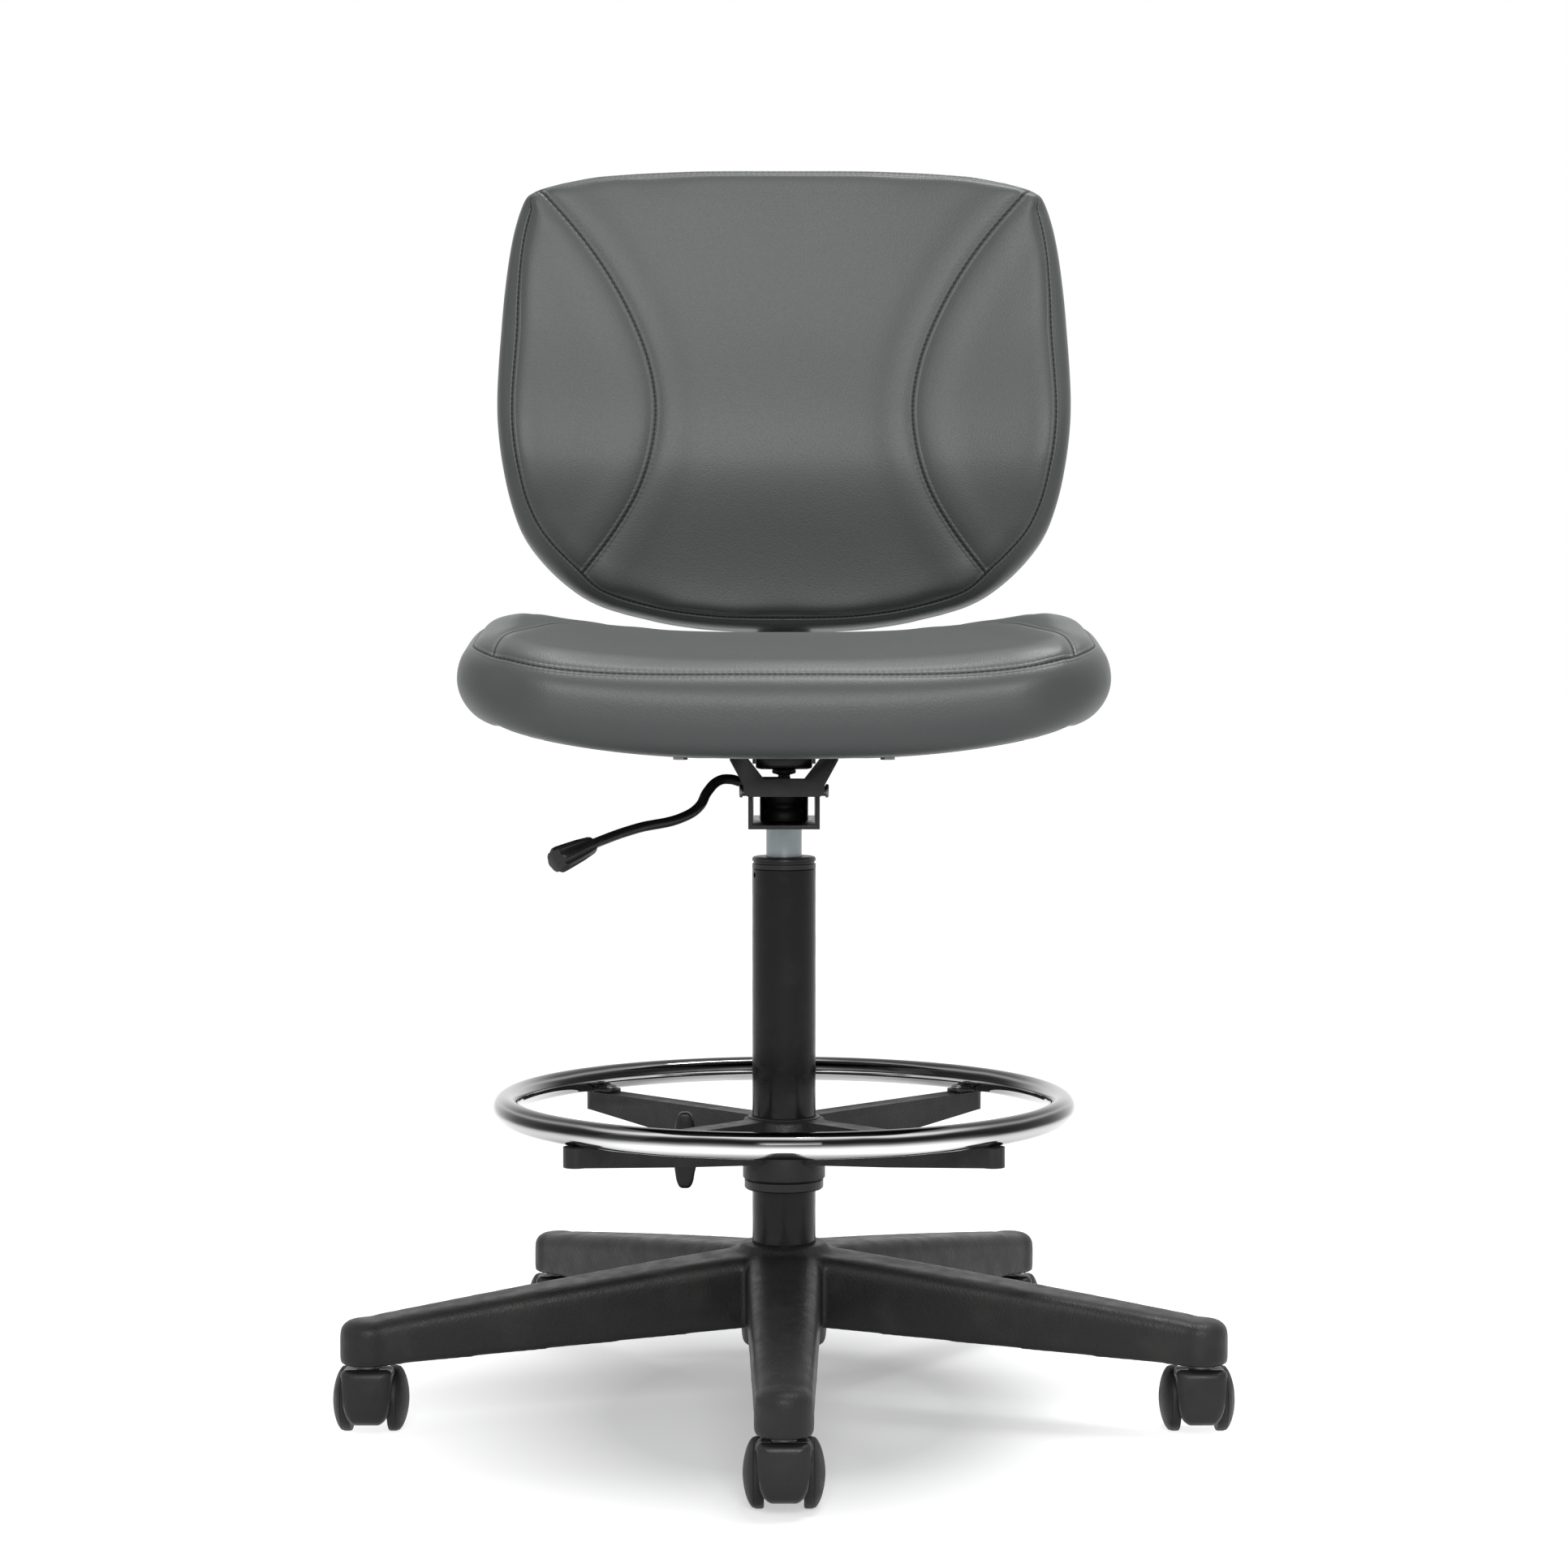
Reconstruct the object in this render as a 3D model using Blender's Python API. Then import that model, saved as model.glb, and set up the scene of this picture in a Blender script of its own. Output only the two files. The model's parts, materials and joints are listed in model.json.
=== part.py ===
"""Drafting chair: five-leg base on twin-wheel casters, gas column, foot ring and tilting seat.

Metres, +Z up, the front of the chair towards -Y. The origin is on the floor, in the middle of
the chair's footprint box; the column stands COLUMN_Y behind it, because every caster trails
backwards. Sizes below are measured from the column's axis and from the floor.
"""

import math

import bmesh
import bpy
from mathutils import Vector

# Clearances and resolution
GAP = 0.0003
RECESS_GAP = 0.0009
SEGMENTS = 20
FINE, COARSE = 24, 8
THROUGH = 0.01
COLUMN_Y = 0.018

# Five-leg base
LEG_COUNT = 5
FRONT_LEG = -math.pi / 2
CASTER_R = 0.333
LEG_TIP_R = 0.0212
LEG_TIP_TOP, LEG_TIP_BOTTOM = 0.090, 0.056
LEG_ROOT_TOP, LEG_ROOT_BOTTOM = 0.128, 0.071
LEG_ROOT_WIDTH, LEG_TIP_WIDTH = 0.060, 0.0405
LEG_WALL = 0.004
HUB_R, HUB_TOP, HUB_BOTTOM = 0.034, 0.131, 0.050

# Casters
WHEEL_R, WHEEL_SIDES = 0.025, 18
WHEEL_IN, WHEEL_OUT = 0.0138, 0.029
CASTER_TRAIL = 0.020
STEM_R, STEM_TOP, STEM_BOTTOM = 0.0055, 0.083, 0.0365
WHEEL_AXLE_R, WHEEL_AXLE_END = 0.003, 0.024
HOUSING_TOP, HOUSING_BOTTOM = 0.0515, 0.0095
WHEEL_WELL_R = 0.0275

# Gas column
TUBE_R, TUBE_BORE, TUBE_TOP, TUBE_FOOT_R = 0.025, 0.0230, 0.4262, 0.0240
BUSH_TOP, BUSH_BOTTOM = 0.436, 0.350
CYLINDER_R, CYLINDER_TOP, CYLINDER_BOTTOM = 0.014, 0.486, 0.105
TAPER_FOOT, TAPER_TOP_R = 0.462, 0.0133
ROD_R, ROD_BOTTOM = 0.005, 0.0455
PISTON_R, PISTON_BOTTOM, PISTON_TOP = 0.0118, 0.372, 0.388
VALVE_R, VALVE_TOP, VALVE_FOOT = 0.0040, 0.490, 0.480

# Foot ring
RING_R, RING_TUBE_R, RING_Z, RING_SIDES = 0.219, 0.010, 0.240, 8
SPOKE_COUNT, SPOKE_WIDTH = 4, 0.019
SPOKE_TOP = RING_Z - RING_TUBE_R - GAP
SPOKE_TIP_BOTTOM, SPOKE_ROOT_BOTTOM = 0.2145, 0.192
SPOKE_HUB_R, SPOKE_HUB_BOTTOM = 0.0325, 0.1838
SLEEVE_R, SLEEVE_BOTTOM, SLEEVE_FLANGE_R = 0.0283, 0.1765, 0.0312
CLAMP_Z, CLAMP_IN, CLAMP_OUT = 0.2035, 0.0287, 0.0870
WING_HALF, WING_THICK, WING_IN = 0.0285, 0.010, 0.0685
TAB_IN, TAB_WIDTH, TAB_THICK, SCREW_AT = 0.196, 0.016, 0.0025, 0.2035

# Seat mechanism
PAN_HALF, PAN_WALL, PAN_BOTTOM = 0.02725, 0.003, 0.462
PAN_FRONT, PAN_REAR = -0.0865, 0.058
SOCKET_R, SOCKET_TOP = 0.019, 0.4855
TILT_Y, TILT_Z, TILT_AXLE_R = -0.078, 0.491, 0.004
LEVER_X, LEVER_Z, LEVER_R = -0.0258, 0.4945, 0.004
LEVER_BORE, LEVER_BUSH_R = 0.0053, 0.0072
BUFFER_Y, BUFFER_R = -0.043, 0.015
YOKE_FRONT, YOKE_REAR, YOKE_HALF = -0.0915, -0.062, 0.0412
PLATE_BOTTOM, PLATE_TOP, PLATE_REAR = 0.5178, 0.5208, 0.135
ARM_HALF, ARM_WIDTH, BOLT_X = 0.096, 0.030, 0.080
ARM_Y = (-0.045, 0.098)

# Seat
SEAT_HALF_X, SEAT_FRONT, SEAT_REAR = 0.2455, -0.255, 0.200
SEAT_CORNER = 0.078
SEAT_BOTTOM, SEAT_DISH = 0.5195, 0.49
SEAT_TOP, SEAT_FRONT_DROP, SEAT_REAR_DROP, SEAT_BOLSTER = 0.612, 0.020, 0.008, 0.016
SEAT_EDGE = 0.010
BOARD_BOTTOM, BOARD_THICK, BOARD_FLAT, BOARD_CURVE = 0.5212, 0.012, 0.098, 1.30
BOARD_MARGIN = 0.032

# Back
BACK_BAR_WIDTH, BACK_BAR_THICK = 0.045, 0.006
BAR_Z, BAR_FRONT, BAR_BEND = 0.5117, 0.079, 0.042
BACK_LEAN = math.radians(6.0)
BACK_Y, BACK_Z = 0.244, 0.806
BACK_HALF, BACK_THICK, BACK_SIDE_THICK, BACK_WRAP = 0.241, 0.064, 0.052, 0.034
BACK_EDGE, LUMBAR, LUMBAR_V, LUMBAR_SPAN = 0.015, 0.006, -0.06, 0.07
BACK_BOARD_THICK, BACK_BOARD_SHARE = 0.010, 0.86
BACK_BOLT_Z = (-0.055, 0.035)
BAR_TOP = 0.065

BLACK_NYLON = ("black_nylon", (0.022, 0.022, 0.023), 0.55, 0.0)
BLACK_RUBBER = ("black_rubber", (0.015, 0.015, 0.015), 0.8, 0.0)
BLACK_PAINT = ("black_paint", (0.02, 0.02, 0.021), 0.35, 0.0)
CHROME = ("chrome", (0.78, 0.79, 0.80), 0.08, 1.0)
STEEL = ("steel", (0.55, 0.56, 0.57), 0.35, 1.0)
PLYWOOD = ("plywood", (0.52, 0.38, 0.24), 0.7, 0.0)
UPHOLSTERY = ("upholstery", (0.095, 0.105, 0.103), 0.5, 0.0)


def clear_scene():
    """Removes every object of the scene."""
    for obj in list(bpy.data.objects):
        bpy.data.objects.remove(obj, do_unlink=True)


def material_of(finish):
    """The Principled material of a (name, colour, roughness, metallic) finish."""
    name, colour, roughness, metallic = finish
    found = bpy.data.materials.get(name)
    if found:
        return found
    made = bpy.data.materials.new(name)
    made.use_nodes = True
    shader = made.node_tree.nodes["Principled BSDF"]
    shader.inputs["Base Color"].default_value = (*colour, 1.0)
    shader.inputs["Roughness"].default_value = roughness
    shader.inputs["Metallic"].default_value = metallic
    return made


def origin_of(obj):
    """World place of an unturned chain of parents."""
    place = Vector((0.0, 0.0, 0.0))
    while obj:
        place += obj.location
        obj = obj.parent
    return place


def pivot(name, at, parent=None):
    """An empty on a joint's axis, at a place measured from the column's axis."""
    empty = bpy.data.objects.new(name, None)
    bpy.context.collection.objects.link(empty)
    return hang(empty, at, parent)


def hang(obj, at, parent):
    """Parents an object and puts its origin at a place measured from the column's axis."""
    obj.parent = parent
    obj.location = Vector(at) + Vector((0.0, COLUMN_Y, 0.0)) - origin_of(parent)
    return obj


def dress(obj, finish, smooth=True):
    """Gives an object its material and its shading."""
    obj.data.materials.append(material_of(finish))
    if smooth:
        obj.data.shade_smooth()
        obj.data.set_sharp_from_angle(angle=math.radians(35.0))
    return obj


def object_of(name, mesh_bm):
    """Turns a bmesh into an object whose faces point outwards."""
    bmesh.ops.recalc_face_normals(mesh_bm, faces=mesh_bm.faces)
    mesh = bpy.data.meshes.new(name)
    mesh_bm.to_mesh(mesh)
    mesh_bm.free()
    obj = bpy.data.objects.new(name, mesh)
    bpy.context.collection.objects.link(obj)
    return obj


def skin(name, rings, first_pole=None, last_pole=None, endless=False):
    """A closed surface through rings of points, ended by poles, by flat caps or by itself."""
    shape = bmesh.new()
    loops = [[shape.verts.new(point) for point in ring] for ring in rings]
    count = len(loops[0])
    pairs = list(zip(loops, loops[1:])) + ([(loops[-1], loops[0])] if endless else [])
    for lower, upper in pairs:
        for i in range(count):
            j = (i + 1) % count
            shape.faces.new((lower[i], lower[j], upper[j]))
            shape.faces.new((lower[i], upper[j], upper[i]))
    for loop, pole in ((loops[0], first_pole), (loops[-1], last_pole)):
        if endless:
            continue
        if pole is None:
            shape.faces.new(loop)
            continue
        tip = shape.verts.new(pole)
        for i in range(count):
            shape.faces.new((loop[i], loop[(i + 1) % count], tip))
    return object_of(name, shape)


def turned(name, profile, segments=SEGMENTS, phase=0.0, flutes=0, flute_depth=0.0):
    """A solid turned about +Z from (radius, height) points; it closes on the axis or on itself.

    Flutes run down it, each as deep as flute_depth times the radius, but not down its bore.
    """
    solid = profile[0][0] == 0.0

    def ring(radius, height):
        points = []
        for i in range(segments):
            angle = 2.0 * math.pi * (i + phase) / segments
            wave = flute_depth * math.cos(flutes * angle) if radius > LEVER_BORE else 0.0
            reach = radius * (1.0 + wave)
            points.append((reach * math.cos(angle), reach * math.sin(angle), height))
        return points

    if solid:
        rings = [ring(r, z) for r, z in profile[1:-1]]
        return skin(name, rings, (0.0, 0.0, profile[0][1]), (0.0, 0.0, profile[-1][1]))
    return skin(name, [ring(r, z) for r, z in profile], endless=True)


def prism(name, outline, axis, start, stop):
    """An outline in the plane across an axis, extruded along it from start to stop."""
    place = {
        "X": lambda a, b, along: (along, a, b),
        "Y": lambda a, b, along: (a, along, b),
        "Z": lambda a, b, along: (a, b, along),
    }[axis]
    return skin(name, [[place(a, b, along) for a, b in outline] for along in (start, stop)])


def block(name, low, high):
    """A box between two corners."""
    outline = [(low[0], low[1]), (high[0], low[1]), (high[0], high[1]), (low[0], high[1])]
    return prism(name, outline, "Z", low[2], high[2])


def helper(obj):
    """Marks an object as a cutter or an ingredient of another one."""
    obj.hide_render = True
    obj.display_type = "WIRE"
    return obj


def combine(obj, other, operation, solver="EXACT"):
    """Adds a Boolean with a helper, which follows the object it shapes."""
    helper(other)
    if other.parent is None:
        other.parent = obj.parent
        other.location = other.location + obj.location
    step = obj.modifiers.new(f"{operation.lower()} {other.name}", "BOOLEAN")
    step.operation = operation
    step.solver = solver
    step.object = other


def cut(obj, *cutters, solver="EXACT"):
    """Takes each cutter's shape out of an object."""
    for cutter in cutters:
        combine(obj, cutter, "DIFFERENCE", solver)


def fuse(obj, *others, solver="EXACT"):
    """Joins helpers to an object as one body."""
    for other in others:
        combine(obj, other, "UNION", solver)


def pin_cutter(name, radius, axis, at, low, high, segments=SEGMENTS):
    """A round cutter along X or Z, through a place."""
    cutter = turned(name, [(0.0, low), (radius, low), (radius, high), (0.0, high)], segments)
    if axis == "X":
        cutter.rotation_euler = (0.0, math.pi / 2, 0.0)
    cutter.location = at
    return cutter


def smooth_path(points, steps, closed=False):
    """Catmull-Rom curve through points, with an equal number of steps in each span."""
    vectors = [Vector(point) for point in points]
    spans = len(vectors) if closed else len(vectors) - 1
    curve = []

    def at(i):
        return vectors[i % len(vectors)] if closed else vectors[max(0, min(i, len(vectors) - 1))]

    for i in range(spans):
        a, b, c, d = at(i - 1), at(i), at(i + 1), at(i + 2)
        for step in range(steps):
            t = step / steps
            curve.append(
                0.5
                * (
                    2.0 * b
                    + (c - a) * t
                    + (2.0 * a - 5.0 * b + 4.0 * c - d) * t**2
                    + (3.0 * b - 3.0 * c + d - a) * t**3
                )
            )
    if not closed:
        curve.append(vectors[-1])
    return curve


def even_loop(points, count):
    """Points at equal steps round a closed loop, starting at its first point."""
    vectors = [Vector(point) for point in points]
    lengths = [(vectors[(i + 1) % len(vectors)] - v).length for i, v in enumerate(vectors)]
    step = sum(lengths) / count
    loop, i, passed = [], 0, 0.0
    for k in range(count):
        while passed + lengths[i] < k * step:
            passed += lengths[i]
            i += 1
        part = (k * step - passed) / lengths[i]
        loop.append(vectors[i].lerp(vectors[(i + 1) % len(vectors)], part))
    return loop


def rounded_loop(left, right, front, rear, radius, count):
    """A rectangle with round corners, as evenly spaced points."""
    quarter = 12
    corners = (
        (right - radius, rear - radius, 0),
        (left + radius, rear - radius, 1),
        (left + radius, front + radius, 2),
        (right - radius, front + radius, 3),
    )
    points = []
    for x, y, turn in corners:
        for i in range(quarter + 1):
            angle = math.pi / 2 * (turn + i / quarter)
            points.append((x + radius * math.cos(angle), y + radius * math.sin(angle)))
    return even_loop(points, count)


def slab(name, outline, lower, upper, edge=0.0):
    """A solid between two height functions over an outline, its rims rounded by edge."""
    centre = sum(outline, Vector((0.0, 0.0))) / len(outline)
    insets = (1.0, 0.965, 0.88, 0.6, 0.3) if edge else (1.0, 0.72, 0.44)

    def ring(inset, height, sign):
        rounding = 1.0 - min(1.0, (1.0 - inset) / 0.22)
        rim = sign * edge * (1.0 - math.sqrt(1.0 - rounding**2))
        points = []
        for point in outline:
            x, y = centre + (point - centre) * inset
            points.append((x, y, height(x, y) + rim))
        return points

    rings = [ring(inset, lower, 1.0) for inset in reversed(insets)]
    rings += [ring(inset, upper, -1.0) for inset in insets]
    x, y = centre
    return skin(name, rings, (x, y, lower(x, y)), (x, y, upper(x, y)))


def leg_angles():
    """Direction of each leg, the front one first."""
    return [FRONT_LEG + 2.0 * math.pi * i / LEG_COUNT for i in range(LEG_COUNT)]


def caster_places():
    """Where each caster's stem stands."""
    return [(CASTER_R * math.cos(a), CASTER_R * math.sin(a)) for a in leg_angles()]


def leg_section(reach, inner=0.0):
    """Cross-section of a leg at a distance from the column; inner is a wall's thickness."""
    along = reach / CASTER_R
    half = (LEG_ROOT_WIDTH + (LEG_TIP_WIDTH - LEG_ROOT_WIDTH) * along) / 2 - inner
    top = LEG_ROOT_TOP + (LEG_TIP_TOP - LEG_ROOT_TOP) * along**1.15 - inner
    bottom = LEG_ROOT_BOTTOM + (LEG_TIP_BOTTOM + 2 * GAP - LEG_ROOT_BOTTOM) * along
    if inner:
        bottom -= THROUGH
    soft = 0.011 if not inner else 0.008
    side = [(half, bottom)]
    for i in range(3):
        angle = math.pi / 4 * i
        side.append((half - soft + soft * math.cos(angle), top - soft + soft * math.sin(angle)))
    return [(reach, y, z) for y, z in side] + [(reach, -y, z) for y, z in reversed(side)]


def build_base(root):
    """The moulded five-leg base, hollow under each leg."""
    hub = [
        (0.0, HUB_BOTTOM),
        (HUB_R - 0.003, HUB_BOTTOM),
        (HUB_R - 0.001, LEG_ROOT_BOTTOM),
        (HUB_R + 0.008, LEG_ROOT_BOTTOM + 0.006),
        (HUB_R + 0.006, LEG_ROOT_TOP - 0.012),
        (HUB_R + 0.001, HUB_TOP - 0.003),
        (HUB_R - 0.002, HUB_TOP),
        (0.0, HUB_TOP),
    ]
    base = dress(turned("base_star", hub, FINE), BLACK_NYLON)
    hang(base, (0.0, 0.0, 0.0), root)
    pockets, holes = [], []
    for i, angle in enumerate(leg_angles(), 1):
        reaches = (0.012, 0.10, 0.22, CASTER_R)
        leg = skin(f"leg_{i}", [leg_section(reach) for reach in reaches])
        pocket_reaches = (0.062, 0.18, 0.300)
        pocket = skin(
            f"leg_pocket_{i}", [leg_section(reach, LEG_WALL) for reach in pocket_reaches]
        )
        tip_profile = [
            (0.0, LEG_TIP_BOTTOM),
            (LEG_TIP_R, LEG_TIP_BOTTOM),
            (LEG_TIP_R, LEG_TIP_TOP - 0.008),
            (LEG_TIP_R - 0.005, LEG_TIP_TOP - 0.001),
            (0.0, LEG_TIP_TOP + 0.0004),
        ]
        tip = turned(f"leg_tip_{i}", tip_profile, 20)
        for shape in (leg, pocket, tip):
            shape.rotation_euler = (0.0, 0.0, angle)
        stem_at = Vector((CASTER_R * math.cos(angle), CASTER_R * math.sin(angle), 0.0))
        tip.location = stem_at
        fuse(base, leg, tip, solver="MANIFOLD")
        pockets.append(pocket)
        holes.append(
            pin_cutter(
                f"stem_hole_{i}", STEM_R + GAP, "Z", stem_at,
                LEG_TIP_BOTTOM - THROUGH, STEM_TOP + 2 * GAP, COARSE,
            )
        )
    bore = [
        (0.0, HUB_BOTTOM - THROUGH),
        (TUBE_FOOT_R + GAP, HUB_BOTTOM - THROUGH),
        (TUBE_FOOT_R + GAP, HUB_BOTTOM),
        (TUBE_R + GAP, HUB_TOP),
        (TUBE_R + GAP, HUB_TOP + THROUGH),
        (0.0, HUB_TOP + THROUGH),
    ]
    cut(base, *pockets, turned("hub_bore", bore), *holes, solver="MANIFOLD")


def build_casters(root):
    """Five twin-wheel casters, all trailing backwards: housing, stem, axle and two wheels."""
    well_side = WHEEL_IN - 2 * GAP
    # The stem's corners clear the flats of its socket at any turn.
    socket_r = (STEM_R + GAP) / math.cos(math.pi / COARSE)
    outline = smooth_path(
        [
            (-0.0130, HOUSING_TOP),
            (-0.0182, 0.0400),
            (-0.0180, 0.0250),
            (-0.0120, HOUSING_BOTTOM),
            (0.0060, HOUSING_BOTTOM),
            (0.0240, 0.0105),
            (0.0370, 0.0200),
            (0.0380, 0.0320),
            (0.0290, 0.0430),
            (0.0120, HOUSING_TOP - 0.0008),
        ],
        2,
        closed=True,
    )
    for i, (x, y) in enumerate(caster_places(), 1):
        swivel = pivot(f"caster_{i}_swivel", (x, y, 0.0), root)
        sides = []
        for sign in (-1.0, 1.0):
            side = []
            for point in outline:
                z = min(point.y, HOUSING_TOP)
                half = 0.0140 + 0.0045 * (z - HOUSING_BOTTOM) / (HOUSING_TOP - HOUSING_BOTTOM)
                side.append((sign * half, point.x, z))
            sides.append(side)
        housing = dress(skin(f"caster_{i}_housing", sides), BLACK_NYLON)
        hang(housing, (x, y, 0.0), swivel)
        axle_at = (0.0, CASTER_TRAIL, WHEEL_R)
        cut(
            housing,
            pin_cutter(f"well_{i}_left", WHEEL_WELL_R, "X", axle_at, -WHEEL_OUT, -well_side),
            pin_cutter(f"well_{i}_right", WHEEL_WELL_R, "X", axle_at, well_side, WHEEL_OUT),
            pin_cutter(f"axle_hole_{i}", WHEEL_AXLE_R + GAP, "X", axle_at, -WHEEL_R, WHEEL_R, COARSE),
            pin_cutter(
                f"stem_socket_{i}", socket_r, "Z", (0.0, 0.0, 0.0),
                STEM_BOTTOM - GAP, HOUSING_TOP + THROUGH, COARSE,
            ),
        )
        stem_profile = [
            (0.0, STEM_BOTTOM),
            (STEM_R, STEM_BOTTOM),
            (STEM_R, HOUSING_TOP + GAP),
            (STEM_R + 0.0035, HOUSING_TOP + GAP),
            (STEM_R + 0.0035, LEG_TIP_BOTTOM - GAP),
            (STEM_R, LEG_TIP_BOTTOM - GAP),
            (STEM_R, STEM_TOP - 0.001),
            (STEM_R - 0.001, STEM_TOP),
            (0.0, STEM_TOP),
        ]
        hang(dress(turned(f"caster_{i}_stem", stem_profile, COARSE), STEEL), (x, y, 0.0), root)
        axle_profile = [
            (0.0, -WHEEL_AXLE_END),
            (WHEEL_AXLE_R, -WHEEL_AXLE_END),
            (WHEEL_AXLE_R, WHEEL_AXLE_END),
            (0.0, WHEEL_AXLE_END),
        ]
        axle = dress(turned(f"caster_{i}_axle", axle_profile, COARSE), STEEL)
        axle.rotation_euler = (0.0, math.pi / 2, 0.0)
        hang(axle, (x, y + CASTER_TRAIL, WHEEL_R), swivel)
        build_wheels(i, x, y, swivel)


def build_wheels(i, x, y, swivel):
    """The two wheels of a caster, each with a blind bore and a flat facet on the floor."""
    rim = WHEEL_R / math.cos(math.pi / WHEEL_SIDES)
    bore = WHEEL_AXLE_R + GAP
    profile = [
        (0.0, WHEEL_OUT),
        (0.0170, WHEEL_OUT - 0.0022),
        (rim, WHEEL_OUT - 0.0065),
        (rim, WHEEL_IN + 0.0010),
        (rim - 0.0010, WHEEL_IN),
        (bore, WHEEL_IN),
        (bore, WHEEL_AXLE_END + GAP),
        (0.0, WHEEL_AXLE_END + GAP),
    ]
    for side, turn in (("left", -math.pi / 2), ("right", math.pi / 2)):
        wheel = turned(f"caster_{i}_wheel_{side}", profile, WHEEL_SIDES, phase=0.5)
        dress(wheel, BLACK_RUBBER).rotation_euler = (0.0, turn, 0.0)
        hang(wheel, (x, y + CASTER_TRAIL, WHEEL_R), swivel)


def build_column(root, swivel, lift):
    """Outer tube, guide bush, bearing, piston rod with its clip, gas cylinder and valve."""
    floor = HUB_BOTTOM + 0.006
    rod_hole = ROD_R + 2 * GAP
    tube = [
        (TUBE_R, TUBE_TOP),
        (TUBE_R, HUB_TOP),
        (TUBE_FOOT_R, HUB_BOTTOM + 0.002),
        (rod_hole, HUB_BOTTOM + 0.002),
        (rod_hole, floor),
        (TUBE_BORE, floor),
        (TUBE_BORE, TUBE_TOP),
    ]
    bush_r, bush_bore = TUBE_BORE - GAP, CYLINDER_R + GAP
    bush = [
        (bush_bore, BUSH_TOP),
        (TUBE_R - 0.001, BUSH_TOP),
        (TUBE_R, BUSH_TOP - 0.001),
        (TUBE_R, BUSH_TOP - 0.0035),
        (TUBE_R - 0.0012, BUSH_TOP - 0.0042),
        (TUBE_R - 0.0012, BUSH_TOP - 0.0052),
        (TUBE_R, BUSH_TOP - 0.0059),
        (TUBE_R, TUBE_TOP + GAP),
        (bush_r, TUBE_TOP + GAP),
        (bush_r, BUSH_BOTTOM),
        (bush_bore, BUSH_BOTTOM),
    ]
    bearing_top = floor + 0.0045
    bearing = [
        (rod_hole, floor + GAP),
        (0.0120, floor + GAP),
        (0.0120, bearing_top),
        (rod_hole, bearing_top),
    ]
    rod = [
        (0.0, ROD_BOTTOM),
        (ROD_R - 0.0008, ROD_BOTTOM),
        (ROD_R, ROD_BOTTOM + 0.0008),
        (ROD_R, bearing_top + GAP),
        (0.0090, bearing_top + GAP),
        (0.0090, bearing_top + 0.005),
        (ROD_R, bearing_top + 0.005),
        (ROD_R, PISTON_BOTTOM),
        (PISTON_R, PISTON_BOTTOM),
        (PISTON_R, PISTON_TOP),
        (0.0, PISTON_TOP),
    ]
    clip_top = HUB_BOTTOM + 0.002 - GAP
    clip = [
        (ROD_R + GAP, clip_top),
        (0.0095, clip_top),
        (0.0110, clip_top - 0.0015),
        (0.0095, clip_top - 0.0035),
        (ROD_R + GAP, clip_top - 0.0035),
    ]
    gas_bore, gas_floor, gas_roof = PISTON_R + 0.0004, CYLINDER_BOTTOM + 0.010, 0.468
    cylinder = [
        (0.0, CYLINDER_TOP - 0.0105),
        (VALVE_R + GAP, CYLINDER_TOP - 0.0105),
        (VALVE_R + GAP, CYLINDER_TOP),
        (TAPER_TOP_R - 0.001, CYLINDER_TOP),
        (TAPER_TOP_R, CYLINDER_TOP - 0.001),
        (CYLINDER_R, TAPER_FOOT),
        (CYLINDER_R, CYLINDER_BOTTOM + 0.001),
        (CYLINDER_R - 0.001, CYLINDER_BOTTOM),
        (ROD_R + GAP, CYLINDER_BOTTOM),
        (ROD_R + GAP, gas_floor),
        (gas_bore, gas_floor),
        (gas_bore, gas_roof),
        (0.0, gas_roof),
    ]
    valve = [
        (0.0, VALVE_FOOT),
        (VALVE_R, VALVE_FOOT),
        (VALVE_R, VALVE_TOP - 0.0006),
        (VALVE_R - 0.0006, VALVE_TOP),
        (0.0, VALVE_TOP),
    ]
    pieces = (
        ("column_tube", tube, BLACK_PAINT, root),
        ("column_bush", bush, BLACK_NYLON, root),
        ("thrust_bearing", bearing, STEEL, root),
        ("piston_rod", rod, STEEL, swivel),
        ("retaining_clip", clip, STEEL, swivel),
        ("gas_cylinder", cylinder, STEEL, lift),
        ("valve_button", valve, BLACK_NYLON, lift),
    )
    for name, profile, finish, parent in pieces:
        hang(dress(turned(name, profile), finish), (0.0, 0.0, 0.0), parent)


def spoke_angles():
    """Direction of each foot-ring spoke."""
    return [math.pi / 4 + math.pi / 2 * i for i in range(SPOKE_COUNT)]


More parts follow.
